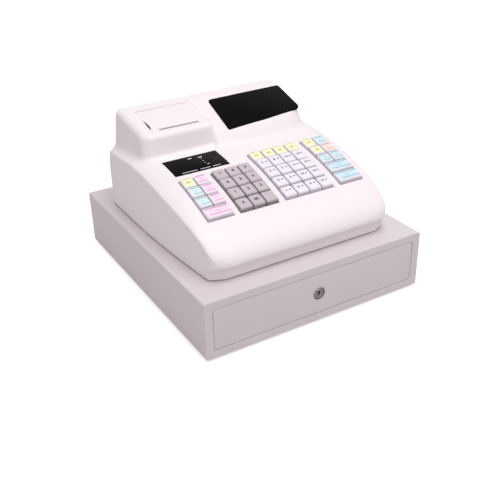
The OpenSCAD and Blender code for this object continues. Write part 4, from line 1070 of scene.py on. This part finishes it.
# ---------------------------------------------------------------- printer cover
@dataclass
class PrinterCover:
    """The lift-up cover with its paper slot, finger notch and tear bar, and the paper under it."""

    # the lid in x and up the slope, its sheet, its front edge and the bead around its hinge
    x0: float = -109.0
    x1: float = -27.0
    s0: float = 5.0
    length: float = 61.5
    t: float = 2.5
    edge: float = 0.6
    bead_r: float = 2.4
    bead_w: float = 2.0
    bead_foot: float = 3.5
    pin_r: float = 1.3
    pin_l: float = 3.0
    pin_root: float = 0.2
    # paper slot, and the finger notch's arc at the left side
    slot_w: float = 60.0
    slot_s: float = 9.5
    slot_t: float = 3.2
    notch_r: float = 33.0
    notch_in: float = 3.2
    notch_s: float = 27.0
    # tear bar in the slot, its teeth, and the paper
    bar_t: float = 2.6
    bar_gap: float = 0.15
    bar_lap: float = 0.4
    bar_low: float = -1.6
    bar_top: float = 0.25
    tooth: float = 1.5
    tooth_l: float = 0.45
    paper_w: float = 57.0
    paper_t: float = 0.15

    # how deep and how high the cutters of slot and notch reach
    CUT = (-8.0, 5.0)
    # the paper's line along the slope and below it, from the roll's front to just under the slot
    PAPER_RUN = ((17.0, -36.0), (16.2, -28.0), (13.6, -20.5), (11.4, -16.0), (10.75, -13.5),
                 (10.8, -11.0), (11.3, -8.0), (11.9, -4.0), (12.25, -0.5))

    @property
    def hinge_s(self) -> float:
        """The hinge's place up the slope."""
        return self.s0 + self.length - self.bead_r

    @property
    def mid(self) -> float:
        """The cover's middle in x."""
        return (self.x0 + self.x1) / 2

    def lid(self) -> bpy.types.Object:
        """Builds the cover itself.

        Returns:
            The cover with its slot and notch cut.
        """
        place = PRINTER_SLOPE.place()
        shape = Shape(place)
        # section along the slope, rounded at the front edge and around the hinge
        section = [(self.s0 + self.edge * (1 - math.cos(a)), -self.edge + self.edge * math.sin(a))
                   for a in np.linspace(0, math.pi / 2, 5)]
        section += [(self.hinge_s + self.bead_r * math.sin(a), -self.bead_r + self.bead_r * math.cos(a))
                    for a in np.linspace(0, math.pi, 12)]
        section += [(self.hinge_s - self.bead_w, -2 * self.bead_r), (self.hinge_s - self.bead_foot, -self.t),
                    (self.s0, -self.t)]
        shape.loft([[(x, s, n) for s, n in section] for x in (self.x0, self.x1)], CASE_ABS)
        cover = shape.mesh("printer_lid", sharp=30)
        low, high = self.CUT
        half = self.slot_w / 2
        carve(cover, block("slot", place, (self.mid - half, self.slot_s, low),
                           (self.mid + half, self.slot_s + self.slot_t, high)))
        notch = circle(self.x0 - self.notch_r + self.notch_in, self.notch_s, self.notch_r, sides=96)
        carve(cover, prism("notch", place, notch, low, high))
        recolour(cover, CASE_ABS, sharp=30)
        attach(cover, "printer_cover")
        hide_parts("printer_cover")
        return cover

    def pins(self) -> bpy.types.Object:
        """Builds the two hinge pins.

        Returns:
            Both pins as one piece.
        """
        shape = Shape(PRINTER_SLOPE.place())
        ring = circle(self.hinge_s, -self.bead_r, self.pin_r, sides=24)
        for start, end in ((self.x0 - self.pin_l, self.x0 + self.pin_root),
                           (self.x1 - self.pin_root, self.x1 + self.pin_l)):
            shape.loft([[(x, s, n) for s, n in ring] for x in (start, end)], CASE_ABS)
        made = shape.mesh("printer_lid_pins")
        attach(made, "printer_cover")
        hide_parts("printer_cover")
        return made

    def tear_bar(self) -> bpy.types.Object:
        """Builds the toothed bar along the front of the paper slot.

        Returns:
            The bar.
        """
        shape = Shape(PRINTER_SLOPE.place())
        half, front = self.slot_w / 2 - self.bar_gap, self.slot_s - self.bar_lap
        rear = front + self.bar_t
        teeth = int(2 * half / self.tooth)
        outline = [(self.mid - half, front), (self.mid + half, front)]
        for k in range(teeth * 2, -1, -1):
            tip = self.tooth_l if k % 2 else 0.0
            outline.append((self.mid - half + k * half / teeth, rear + tip))
        shape.loft(slab(outline, self.bar_low, self.bar_top), BAR_GREY)
        made = shape.mesh("tear_bar", sharp=30)
        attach(made, "printer_cover")
        return made

    def paper(self) -> bpy.types.Object:
        """Builds the paper's run from the roll over the platen to the slot.

        Returns:
            The strip.
        """
        shape = Shape(PRINTER_SLOPE.place())
        half = self.paper_w / 2
        knots = [Vector(p) for p in self.PAPER_RUN]
        outer, inner = [], []
        for i, knot in enumerate(knots):
            run = (knots[min(i + 1, len(knots) - 1)] - knots[max(i - 1, 0)]).normalized()
            side = Vector((-run.y, run.x)) * self.paper_t / 2
            outer.append(knot + side)
            inner.append(knot - side)
        line = outer + inner[::-1]
        shape.loft([[(x, p.x, p.y) for p in line] for x in (self.mid - half, self.mid + half)], PAPER)
        made = shape.mesh("paper_run", sharp=40)
        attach(made, "register")
        return made

    def build(self) -> list[bpy.types.Object]:
        """Builds the cover, its pins and bar, and the paper."""
        return [self.lid(), self.pins(), self.tear_bar(), self.paper()]


# ---------------------------------------------------------------- upper case
@dataclass(frozen=True)
class KeyBlock:
    """A block of keys in the deck: its middle in x, its columns and its rows."""

    mid: float
    cols: int
    rows: int


@dataclass(frozen=True)
class KeyPlan:
    """The pitch of the keys and their four blocks, from left to right."""

    px: float = 19.05
    ps: float = 20.5
    left: KeyBlock = KeyBlock(-95.55, 2, 4)
    digits: KeyBlock = KeyBlock(-39.3, 3, 4)
    departments: KeyBlock = KeyBlock(37.6, 4, 5)
    right: KeyBlock = KeyBlock(104.95, 2, 5)


KEYS = KeyPlan()


@dataclass
class UpperCase:
    """The moulded upper case with its wells, seats and printer bay."""

    form: CaseForm = field(default_factory=CaseForm)
    windows: Windows = field(default_factory=Windows)
    cover: PrinterCover = field(default_factory=PrinterCover)
    # wall, and the coarser cells of the room inside
    wall: float = 2.5
    room_cell: float = 3.0
    # gaps and floors of the key wells, the windows' seats and the printer's bay
    well_gap: float = 0.3
    well_floor: float = -9.0
    seat_gap: float = 0.2
    cover_gap: float = 0.15
    bay_floor: float = -6.0
    # what the base case fills: the apron at the front and the gland's place at the rear
    apron_y: float = -141.2
    gland_x0: float = 77.0
    gland_x1: float = 107.0
    gland_y: float = 112.0
    gland_h: float = 34.0
    # how high the cutters stand over the deck, and the x, y and z that lie outside the case
    clear: float = 20.0
    outside: Point = (200.0, 180.0, 70.0)

    def cutters(self) -> list[bpy.types.Object]:
        """Builds the rooms that are cut out of the case.

        Returns:
            The cutters: apron, key wells, seats of the two windows, gland and printer bay.
        """
        ox, oy, oz = self.outside
        apron_z = DECK.case_z + self.form.apron_h
        out = [block("apron_room", plain, (-ox, -oy, oz), (ox, self.apron_y, apron_z))]
        gap = self.well_gap
        for keys in (KEYS.left, KEYS.digits, KEYS.departments, KEYS.right):
            half = keys.cols * KEYS.px / 2 + gap
            out.append(block("well", DECK.keys(), (keys.mid - half, -gap, self.well_floor),
                             (keys.mid + half, keys.rows * KEYS.ps + gap, self.clear)))
        win, gap = self.windows, self.seat_gap
        half, mid = win.status_w / 2 + gap, win.status_x
        out.append(block("status_seat", DECK.status(), (mid - half, -gap, win.status_top - win.thick),
                         (mid + half, DECK.status_l + gap, self.clear)))
        out.append(prism("lens_seat", LENS_SLOPE.place(), win.lens_outline(gap), win.lens_top - win.thick,
                         self.clear))
        out.append(block("gland_room", plain, (self.gland_x0, self.gland_y, oz),
                         (self.gland_x1, oy, DECK.case_z + self.gland_h)))
        lid, gap = self.cover, self.cover_gap
        out.append(block("printer_room", PRINTER_SLOPE.place(), (lid.x0 - gap, lid.s0 - gap, self.bay_floor),
                         (lid.x1 + gap, lid.s0 + lid.length + gap, self.clear)))
        return out

    def build(self) -> list[bpy.types.Object]:
        """Builds the case as a hollow shell.

        Returns:
            The case.
        """
        case = self.form.solid("upper_case_moulding", self.form.cell, inset=0.0, settle=2)
        carve(case, self.form.solid("case_room", self.room_cell, inset=self.wall, settle=1))
        for cutter in self.cutters():
            carve(case, cutter)
        recolour(case, CASE_ABS, sharp=38)
        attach(case, "register")
        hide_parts("upper_case")
        return [case]


# ---------------------------------------------------------------- keys
@dataclass(frozen=True)
class CapForm:
    """One kind of cap: its height over the deck, how far its top stands in, its dish and its finishes."""

    rise: float
    front: float
    side: float
    back: float
    dish: float
    body: Finish
    # the skirt's finish is a darker copy of the body's, painted shade for the gaps between caps
    skirt: Finish


NUMBER_CAP = CapForm(rise=5.0, front=2.4, side=1.3, back=0.9, dish=0.5, body=CAP_GREY, skirt=CAP_GREY_SKIRT_SHADE)
LABEL_CAP = CapForm(rise=4.0, front=1.7, side=1.0, back=0.7, dish=0.0, body=CAP_WHITE, skirt=CAP_WHITE_SKIRT_SHADE)


@dataclass(frozen=True)
class Cap:
    """One key, or one column of keys: its node, block, place, size and label."""

    node: str
    block: KeyBlock
    col: float
    row: int
    rows: int = 1
    width: int = 1
    tint: Optional[Tint] = None
    text: str = ""


@dataclass
class Keyboard:
    """All the keys, on the key plane."""

    # gap between caps, their rim's height from the deck, and the stem under each
    gap: float = 0.9
    foot: float = -4.5
    stem_half: float = 3.0
    stem_l: float = 7.0
    stem_root: float = 1.0
    # the sloping brow between skirt and top, and the flat's margin inside the rounded edge
    brow: float = 2.4
    margin: float = 0.3
    flat_r: float = 1.4
    # printing: thickness of ink and label, depth and corner radius, and the numbers' height and place
    ink_t: float = 0.05
    label_t: float = 0.03
    ink_root: float = 0.15
    ink_r: float = 0.25
    digit_h: float = 4.6
    digit_up: float = 0.6
    digit_sunk: float = 0.32
    small_digit_h: float = 3.6

    # rings of the top's rounded edge: how far outside the top at the front, sides and back, and how deep
    EDGE = ((0.5, 0.35, 0.3, 0.42), (0.12, 0.08, 0.1, 0.12))
    EDGE_R = 1.5
    DISH_SHARES = (0.82, 0.6, 0.35, 0.12)
    # how far up the brow the skirt's painted shade meets the cap's own colour
    SEAM = 0.4
    # a label's insets from the flat: left, front, right, rear
    LABEL = (1.0, 0.3, 0.5, 0.3)
    # marks around the flat's middle: the white key's number and bar, and the yellow key's word
    NUMBER_SPOT = (-2.2, 2.0)
    NUMBER_BAR = (1.8, 1.6, 5.4, 2.9)
    WORD = (-3.0, -1.4, 3.0, 1.6)
    # ruled lines: insets at left and right, and both edges' distance from the flat's rear or front
    THIN_RULE = (1.2, 0.7, 1.9, 0.6)
    BROAD_RULE = (1.4, 0.7, 2.6, 1.0)
    FINE_RULE = (1.4, 0.8, 3.4, 4.3)
    # the fine line's later start and half the short bar, as shares of the flat's width; the bar lies
    # its own thickness behind the middle
    FINE_START = 0.1
    SHORT_HALF = 0.12
    SHORT_T = 0.8
    # font size for a digit 1 mm high, and how much the strokes are thickened and raised
    FONT_SIZE = 1.4
    STROKE = 0.18
    INK_HALF = 0.08

    def caps(self) -> list[Cap]:
        """Lists the keys.

        Returns:
            One entry for each node.
        """
        left, digits, shelf, right = KEYS.left, KEYS.digits, KEYS.departments, KEYS.right
        out = [Cap("key_left_yellow", left, 0, 3, tint=Tint.YELLOW)]
        out += [Cap(f"key_left_cyan_{i}", left, 0, 3 - i, tint=Tint.CYAN) for i in (1, 2)]
        out += [Cap(f"key_left_pink_{i}", left, 1, 4 - i, tint=Tint.PINK) for i in (1, 2, 3)]
        out.append(Cap("key_left_wide", left, 0.5, 0, width=2, tint=Tint.PINK))
        for row, names in ((3, "789"), (2, "456"), (1, "123")):
            out += [Cap(f"key_{n}", digits, col, row, text=n) for col, n in enumerate(names)]
        out += [Cap("key_0", digits, 0, 0, text="0"), Cap("key_00", digits, 1, 0, text="00"),
                Cap("key_point", digits, 2, 0)]
        out += [Cap(f"key_department_{c + 1}", shelf, c, 4, tint=Tint.YELLOW) for c in range(4)]
        out += [Cap(f"keys_department_column_{c + 1}", shelf, c, 0, rows=4, tint=Tint.WHITE)
                for c in range(4)]
        for name, col, row, tint in (("yellow_1", 0, 4, Tint.YELLOW), ("blue_1", 1, 4, Tint.BLUE),
                                     ("yellow_2", 0, 3, Tint.YELLOW), ("red", 1, 3, Tint.RED),
                                     ("blue_2", 0, 2, Tint.BLUE), ("blue_3", 1, 2, Tint.BLUE)):
            out.append(Cap(f"key_right_{name}", right, col, row, tint=tint))
        out += [Cap(f"key_right_wide_{i}", right, 0.5, 2 - i, width=2, tint=Tint.BLUE) for i in (1, 2)]
        return out

    def _skirt(self, shape: Shape, w: float, low: float, top: float, form: CapForm) -> tuple[float, ...]:
        """Adds a cap's body, open below, with rounded edges.

        Args:
            shape: the shape it goes into.
            w: width of the cap.
            low: height of its rim.
            top: height of its top.
            form: its kind.

        Returns:
            The flat top's x0, y0, x1, y1.
        """
        x, y = w / 2, (KEYS.ps - self.gap) / 2

        def ring(front: float, side: float, back: float, r: float, z: float) -> Ring:
            """A ring that stands in from the cap's foot by its front, sides and back."""
            return rounded_rect(side - x, front - y, x - side, y - back, r, z)

        # the rim turned in, the foot, the skirt with its slight draft and the start of the brow
        brow = top - self.brow
        rings = [ring(1.2, 1.2, 1.2, 0.6, low + 0.01), ring(0, 0, 0, 1.0, low),
                 ring(0.15, 0.1, 0.1, 1.0, brow - 0.5), ring(0.5, 0.3, 0.25, 1.1, brow)]
        edge = [ring(form.front - front, form.side - side, form.back - back, self.EDGE_R, top - deep)
                for front, side, back, deep in self.EDGE]
        pairs = zip(rings[-1], edge[0])
        rings.append([tuple(a + (b - a) * self.SEAM for a, b in zip(p, q)) for p, q in pairs])
        # the skirt takes the darker finish that paints the shade of the gaps between caps
        shape.loft(rings, form.skirt, True, False)
        inset = (form.front + self.margin, form.side + self.margin, form.back + self.margin)
        level = ring(*inset, self.flat_r, top)
        rings = [rings[-1], *edge, level]
        if form.dish:
            cy = (inset[0] - inset[2]) / 2
            rings += [[(px * share, cy + (py - cy) * share, top - form.dish * (1 - share * share))
                       for px, py, _ in level] for share in self.DISH_SHARES]
        shape.loft(rings, form.body, False, True)
        return inset[1] - x, inset[0] - y, x - inset[1], y - inset[2]

    def _bar(self, shape: Shape, box: Sequence[float], top: float, finish: Finish, thick: float) -> None:
        """Prints a bar on a cap's top.

        Args:
            shape: the shape it goes into.
            box: its x0, y0, x1, y1.
            top: height of the surface.
            finish: the ink.
            thick: its thickness.
        """
        x0, y0, x1, y1 = box
        r = min(self.ink_r, (x1 - x0) / 2.2, (y1 - y0) / 2.2)
        shape.loft([rounded_rect(*box, r, z, steps=2) for z in (top - self.ink_root, top + thick)], finish)

    def _digits(self, shape: Shape, text: str, size: float, spot: Point, finish: Finish) -> None:
        """Prints a number on a cap's top.

        Args:
            shape: the shape it goes into.
            text: the digits.
            size: their height.
            spot: the number's middle, on the surface.
            finish: the ink.
        """
        curve = bpy.data.curves.new("digits", "FONT")
        curve.body, curve.size, curve.align_x, curve.align_y = text, size * self.FONT_SIZE, "CENTER", "CENTER"
        curve.extrude, curve.offset, curve.resolution_u = self.INK_HALF, self.STROKE, 3
        temp = bpy.data.objects.new("digits", curve)
        bpy.context.scene.collection.objects.link(temp)
        bpy.context.view_layer.update()
        data = bpy.data.meshes.new_from_object(temp.evaluated_get(bpy.context.evaluated_depsgraph_get()))
        x, y, z = spot
        points = [(v.co.x + x, v.co.y + y, v.co.z + z) for v in data.vertices]
        shape.put(points, [list(p.vertices) for p in data.polygons], finish)
        bpy.data.objects.remove(temp)
        bpy.data.curves.remove(curve)
        bpy.data.meshes.remove(data)

    def _label(self, shape: Shape, cap: Cap, top: float, area: Sequence[float], number: int) -> None:
        """Lays the coloured label with its plain marks.

        Args:
            shape: the shape it goes into.
            cap: the key.
            top: height of the cap's top.
            area: the flat top's x0, y0, x1, y1.
            number: the number printed on a white key.
        """
        ground, ink, edge = cap.tint.finishes()
        x0, y0, x1, y1 = area
        wide, mid = x1 - x0, (y0 + y1) / 2 + self.SHORT_T

        def rear_rule(left: float, right: float, far: float, near: float) -> tuple[float, ...]:
            """A ruled line along the flat's rear."""
            return (x0 + left, y1 - far, x1 - right, y1 - near)

        left, front, right, rear = self.LABEL
        self._bar(shape, (x0 + left, y0 + front, x1 - right, y1 - rear), top, ground, self.label_t)
        if cap.tint is Tint.WHITE:
            self._digits(shape, str(number), self.small_digit_h, (*self.NUMBER_SPOT, top + self.ink_t), ink)
            marks = [(self.NUMBER_BAR, ink)]
        elif cap.tint is Tint.YELLOW:
            marks = [(rear_rule(*self.THIN_RULE), edge), (self.WORD, ink)]
        else:
            # a broad ruled line at the rear, a fine one at the front and a short word's bar between
            left, right, low, high = self.FINE_RULE
            fine = (x0 + left + wide * self.FINE_START, y0 + low, x1 - right, y0 + high)
            half, thin = wide * self.SHORT_HALF, self.SHORT_T / 2
            marks = [(rear_rule(*self.BROAD_RULE), edge), (fine, ink),
                     ((-half, mid - thin, half, mid + thin), edge)]
        for box, colour in marks:
            self._bar(shape, box, top + self.label_t, colour, self.ink_t)

    def _key(self, shape: Shape, cap: Cap, s: float, number: int) -> None:
        """Adds one key of a node.

        Args:
            shape: the shape it goes into.
            cap: the node's entry.
            s: the key's middle up the key plane.
            number: the number printed on a white key.
        """
        form = LABEL_CAP if cap.tint else NUMBER_CAP
        bulge = DECK.bulge(s)
        low, top = bulge + self.foot, bulge + form.rise
        area = self._skirt(shape, cap.width * KEYS.px - self.gap, low, top, form)
        if cap.tint:
            self._label(shape, cap, top, area, number)
        elif cap.text:
            spot = (0, (area[1] + area[3]) / 2 + self.digit_up, top - self.digit_sunk)
            self._digits(shape, cap.text, self.digit_h, spot, INK_DARK)
        # square stem under the cap
        a = self.stem_half
        shape.loft([[(-a, -a, z), (a, -a, z), (a, a, z), (-a, a, z)]
                    for z in (low - self.stem_l, low + self.stem_root)], form.body, cap_end=False)

    def build(self) -> list[bpy.types.Object]:
        """Builds every key.

        Returns:
            The keys.
        """
        plane = DECK.keys()
        made = []
        for cap in self.caps():
            shape = Shape()
            x = cap.block.mid + (cap.col - (cap.block.cols - 1) / 2) * KEYS.px
            for i in range(cap.rows):
                s = (cap.row + i + 0.5) * KEYS.ps
                shape.place = lambda a, b, c, x=x, s=s: plane(x + a, s + b, c)
                self._key(shape, cap, s, int(cap.col) * cap.rows + i + 1)
            piece = shape.mesh(cap.node.replace("key", "cap", 1), sharp=28)
            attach(piece, cap.node)
            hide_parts(cap.node)
            made.append(piece)
        return made


# ---------------------------------------------------------------- drawer
@dataclass
class DrawerFront:
    """The folded steel front of the drawer, and the rim of the opening around it."""

    # the front's outline, and the places of its face and of the rim's
    half: float = 153.4
    z0: float = 14.4
    z1: float = 73.4
    r: float = 4.5
    y: float = -184.8
    rim_y: float = -185.0
    # folded sides, and the rounding of the edge with the share that the corner radius loses to it
    depth: float = 11.2
    sheet: float = 1.2
    edge: float = 2.2
    edge_share: float = 0.6
    lock_z: float = 43.9
    hole_r: float = 8.45
    hole_reach: float = 5.0

    # section of the rim: distance outside the front, and height over the cabinet's face
    RIM = ((1.1, -3.0), (1.1, -0.05), (1.0, -0.02), (0.72, -0.14), (0.44, -0.42), (0.25, -0.8), (0.15, -1.3),
           (0.15, -3.0), (1.1, -3.0))

    def _ring(self, grow: float, r: float, n: float) -> Ring:
        """A ring around the front, grown outward, at height n over its face."""
        half = self.half + grow
        return rounded_rect(-half, self.z0 - grow, half, self.z1 + grow, r, n, steps=8)

    def face(self) -> bpy.types.Object:
        """Builds the front.

        Returns:
            The front with its lock hole.
        """
        shape = Shape(lambda x, z, n: (x, self.y - n, z))
        fold = self.r - self.sheet
        rings = [self._ring(-self.sheet, fold, -self.sheet), self._ring(-self.sheet, fold, -self.depth),
                 self._ring(0, self.r, -self.depth)]
        for a in np.radians((0, 22.5, 45, 67.5, 90)):
            inset = self.edge * (1 - math.cos(a))
            rings.append(self._ring(-inset, self.r - inset * self.edge_share, -self.edge * (1 - math.sin(a))))
        shape.loft(rings, POWDER)
        front = shape.mesh("drawer_face", sharp=40)
        across = Shape(lambda x, z, n: (x, self.y - n, z + self.lock_z))
        across.loft(slab(circle(0, 0, self.hole_r, sides=64), -self.hole_reach, self.hole_reach), POWDER)
        carve(front, across.mesh("lock_hole"))
        recolour(front, POWDER, sharp=40)
        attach(front, "drawer")
        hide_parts("drawer_front")
        return front

    def rim(self) -> bpy.types.Object:
        """Builds the rolled rim that lines the opening around the front.

        Returns:
            The rim.
        """
        shape = Shape(lambda x, z, n: (x, self.rim_y - n, z))
        shape.loft([self._ring(out, self.r + out, n) for out, n in self.RIM], POWDER, False, False)
        made = shape.mesh("opening_rim", sharp=40)
        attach(made, "register")
        return made

    def build(self) -> list[bpy.types.Object]:
        """Builds the front and the rim."""
        return [self.face(), self.rim()]


@dataclass
class DrawerLock:
    """The cam lock: its flange and barrel, and the turning plug with keyway and cam."""

    y: float = -185.0
    z: float = 43.9
    # barrel and bore, and the plug in it with its edge and tail
    barrel_r: float = 8.25
    barrel_top: float = -1.0
    bore_r: float = 5.58
    length: float = 18.0
    plug_r: float = 5.5
    plug_top: float = -0.5
    plug_edge_r: float = 0.3
    plug_edge_h: float = 0.25
    tail: float = 2.0
    # keyway, the wider opening over it, and the depth from which its walls are painted as shade
    key_w: float = 1.8
    key_h: float = 5.6
    key_deep: float = 7.0
    shade_from: float = 0.6
    mouth_w: float = 3.2
    mouth_low: float = 0.4
    mouth_high: float = 3.4
    cam_l: float = 35.0
    cam_r: float = 3.0
    cam_t: float = 2.0
    cam_gap: float = 0.4

    # radius and height of the flange's front, from its back edge inward to the plug's bore
    FLANGE = ((8.25, -1.0), (9.75, -1.0), (10.0, -0.75), (10.0, -0.4), (9.85, -0.15), (9.5, 0.0),
              (9.0, 0.0), (8.7, -0.1))
    GROOVE = ((8.7, -0.1), (8.4, -0.8), (7.9, -1.1))
    DISH = ((7.9, -1.1), (7.2, -0.95), (6.1, -0.6))
    COLLAR = ((6.1, -0.6), (5.95, -0.42), (5.75, -0.4), (5.58, -0.6))

    def _place(self, x: float, z: float, n: float) -> Point:
        """The lock's axis: n runs out of the drawer's front."""
        return (x, self.y - n, z + self.z)

    @staticmethod
    def _turned(line: Sequence[Spot]) -> list[Ring]:
        """Rings of a line of radii and heights, turned around the lock's axis."""
        return [[(x, z, n) for x, z in circle(0, 0, r, sides=64)] for r, n in line]

    def flange(self) -> bpy.types.Object:
        """Builds the flange and the barrel behind it.

        Returns:
            The flange.
        """
        back = (self.bore_r, -self.length)
        barrel = (back, (self.barrel_r, -self.length), (self.barrel_r, self.barrel_top))
        shape = Shape(self._place)
        # the groove is drawn in painted shade, and the dish and the bore in plate darkened as painted shade
        # and dark reflection
        for line, finish in ((barrel, NICKEL), (self.FLANGE, NICKEL), (self.GROOVE, LOCK_SHADE),
                             (self.DISH, NICKEL_SHADED), (self.COLLAR, NICKEL),
                             ((self.COLLAR[-1], back), NICKEL_SHADED)):
            shape.loft(self._turned(line), finish, False, False)
        made = shape.mesh("lock_flange", sharp=25)
        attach(made, "drawer")
        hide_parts("lock_housing")
        return made

    def core(self) -> bpy.types.Object:
        """Builds the turning plug with its keyway, whose walls inside are painted shade.

        Returns:
            The plug.
        """
        shape = Shape(self._place)
        shape.loft(self._turned([(self.plug_r, -self.length - self.tail),
                                 (self.plug_r, self.plug_top - self.plug_edge_h),
                                 (self.plug_r - self.plug_edge_r, self.plug_top)]), NICKEL_SHADED)
        made = shape.mesh("lock_core", sharp=25)
        for w, z0, z1 in ((self.key_w, -self.key_h / 2, self.key_h / 2),
                          (self.mouth_w, self.mouth_low, self.mouth_high)):
            carve(made, block("keyway", self._place, (-w / 2, z0, -self.key_deep), (w / 2, z1, 1.0)))
        made.data.materials.clear()
        for finish in (NICKEL_SHADED, LOCK_SHADE):
            made.data.materials.append(finish.material())
        # faces deep in the keyway take the painted shade
        for face in made.data.polygons:
            middle = face.center / MM
            depth, out = middle.y - self.y, math.hypot(middle.x, middle.z - self.z)
            face.material_index = int(self.shade_from < depth < self.key_deep + 1 and out < self.plug_r - 1)
        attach(made, "lock")
        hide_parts("lock_plug")
        return made

    def cam(self) -> bpy.types.Object:
        """Builds the arm on the plug's tail.

        Returns:
            The cam.
        """
        shape = Shape(self._place)
        outline = flat(rounded_rect(-self.plug_r, -self.plug_r, self.cam_l, self.plug_r, self.cam_r, 0))
        top = -self.length - self.cam_gap
        shape.loft(slab(outline, top - self.cam_t, top), ZINC)
        made = shape.mesh("lock_cam")
        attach(made, "lock")
        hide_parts("lock_plug")
        return made

    def build(self) -> list[bpy.types.Object]:
        """Builds the lock's pieces."""
        return [self.flange(), self.core(), self.cam()]


# ---------------------------------------------------------------- carried-over solids
PLAIN_NODES: dict[str, Finish] = {
    "cabinet_shell": POWDER, "cabinet_feet": RUBBER, "drawer_pan": ZINC, "till_insert": TRAY,
    "bill_clips": TRAY, "latch_unit": ZINC, "base_case": CASE_ABS, "key_frame": FRAME_ABS,
    "dome_sheet": SILICONE, "keyboard_board": FIBREGLASS, "display_boards": FIBREGLASS,
    "printer_unit": FRAME_ABS, "platen_roller": RUBBER, "paper_roll": PAPER, "main_board": FIBREGLASS,
    "transformer": LAMINATION, "cord_gland": RUBBER, "case_screws": ZINC,
}


def dress_solids(nodes: dict[str, bpy.types.Object]) -> None:
    """Gives the solids that stay their finishes.

    Args:
        nodes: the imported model's nodes.
    """
    for name, finish in PLAIN_NODES.items():
        data = nodes[name].data
        data.materials.clear()
        data.materials.append(finish.material())
        LOG.info("%s: %s", name, finish.name)


# ---------------------------------------------------------------- studio
@dataclass(frozen=True)
class Lamp:
    """A square area lamp: its place, what it points at and its side in metres, and its watts."""

    name: str
    at: Point
    target: Point
    size: float
    watts: float

    def build(self) -> None:
        """Adds the lamp."""
        data = bpy.data.lights.new(self.name, "AREA")
        data.shape, data.size, data.energy = "SQUARE", self.size, self.watts
        made = bpy.data.objects.new(self.name, data)
        made.location = self.at
        made.rotation_euler = (Vector(self.target) - Vector(self.at)).to_track_quat("-Z", "Y").to_euler()
        bpy.context.scene.collection.objects.link(made)


@dataclass
class Studio:
    """Floor, lamps, world and camera."""

    # camera: place in millimetres, turns in radians, lens and sensor in millimetres
    eye: Point = (-491.1, -850.5, 569.7)
    azimuth: float = -0.530359
    elevation: float = 0.509785
    roll: float = -0.0238476
    lens: float = 55.03
    sensor: float = 36.0
    near_m: float = 0.01
    far_m: float = 50.0
    sky: str = "#F4F0F3"
    sky_strength: float = 0.51
    floor: str = "#E1DFE0"
    floor_glow: float = 0.62
    floor_half_m: float = 6.0

    LAMPS = (Lamp("key", (0.1, -1.15, 1.3), (0, 0.0, 0.15), 0.8, 2.7),
             Lamp("top", (0.2, -0.4, 1.8), (0, 0, 0.1), 1.3, 16.0),
             Lamp("side", (-1.3, -0.2, 0.95), (0, 0, 0.15), 1.0, 1.6))

    def camera(self) -> None:
        """Places the camera."""
        ca, sa = math.cos(self.azimuth), math.sin(self.azimuth)
        ce, se = math.cos(self.elevation), math.sin(self.elevation)
        look = -Vector((sa * ce, -ca * ce, se))
        right = look.cross(Vector((0, 0, 1))).normalized()
        up = right.cross(look)
        c, s = math.cos(self.roll), math.sin(self.roll)
        turned = Matrix((c * right + s * up, -s * right + c * up, -look)).transposed().to_4x4()
        data = bpy.data.cameras.new("camera")
        data.lens, data.sensor_width = self.lens, self.sensor
        data.clip_start, data.clip_end = self.near_m, self.far_m
        eye = bpy.data.objects.new("camera", data)
        eye.matrix_world = Matrix.Translation(Vector(self.eye) * MM) @ turned
        bpy.context.scene.collection.objects.link(eye)
        bpy.context.scene.camera = eye

    def world(self) -> None:
        """Lights the scene softly, and shows plain white to the camera, in gloss and through glass."""
        world = bpy.data.worlds.new("studio")
        bpy.context.scene.world = world
        tree = bare_tree(world)
        rays = add_node(tree, "ShaderNodeLightPath").outputs
        seen = rays["Is Camera Ray"]
        for kind in ("Is Glossy Ray", "Is Transmission Ray"):
            either = add_node(tree, "ShaderNodeMath", {"operation": "MAXIMUM"}, {0: seen, 1: rays[kind]})
            seen = either.outputs[0]
        light = {"Color": linear(self.sky), "Strength": self.sky_strength}
        fill = add_node(tree, "ShaderNodeBackground", light)
        white = add_node(tree, "ShaderNodeBackground", {"Color": (1, 1, 1, 1), "Strength": 1.0})
        both = add_node(tree, "ShaderNodeMixShader", None, {0: seen, 1: fill.outputs[0], 2: white.outputs[0]})
        add_node(tree, "ShaderNodeOutputWorld", None, {"Surface": both.outputs[0]})

    def ground(self) -> None:
        """Lays the floor, which glows white to the camera but still takes shadows."""
        a = self.floor_half_m
        data = bpy.data.meshes.new("floor")
        data.from_pydata([(-a, -a, 0), (a, -a, 0), (a, a, 0), (-a, a, 0)], [], [[0, 1, 2, 3]])
        floor = bpy.data.objects.new("floor", data)
        bpy.context.scene.collection.objects.link(floor)
        skin = bpy.data.materials.new("studio_floor_white")
        tree = bare_tree(skin)
        matt = add_node(tree, "ShaderNodeBsdfDiffuse", {"Color": linear(self.floor)}).outputs[0]
        glow = add_node(tree, "ShaderNodeEmission", {"Color": (1, 1, 1, 1), "Strength": self.floor_glow})
        lit = add_node(tree, "ShaderNodeAddShader", None, {0: matt, 1: glow.outputs[0]}).outputs[0]
        seen = add_node(tree, "ShaderNodeLightPath").outputs["Is Camera Ray"]
        both = add_node(tree, "ShaderNodeMixShader", None, {0: seen, 1: matt, 2: lit})
        add_node(tree, "ShaderNodeOutputMaterial", None, {"Surface": both.outputs[0]})
        data.materials.append(skin)

    def build(self) -> None:
        """Builds the studio."""
        self.camera()
        self.world()
        self.ground()
        for lamp in self.LAMPS:
            lamp.build()
        bpy.context.scene.view_settings.view_transform = "Standard"


def main() -> None:
    """Builds the scene in order."""
    logging.basicConfig(level=logging.INFO, format="%(message)s")
    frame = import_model()
    Studio().build()
    dress_solids(frame["nodes"])
    for part in (UpperCase(), Windows(), PrinterCover(), DrawerFront(), DrawerLock(), Keyboard()):
        for piece in part.build():
            LOG.info("%s: %d faces", piece.name, len(piece.data.polygons))


if __name__ == "__main__":
    main()
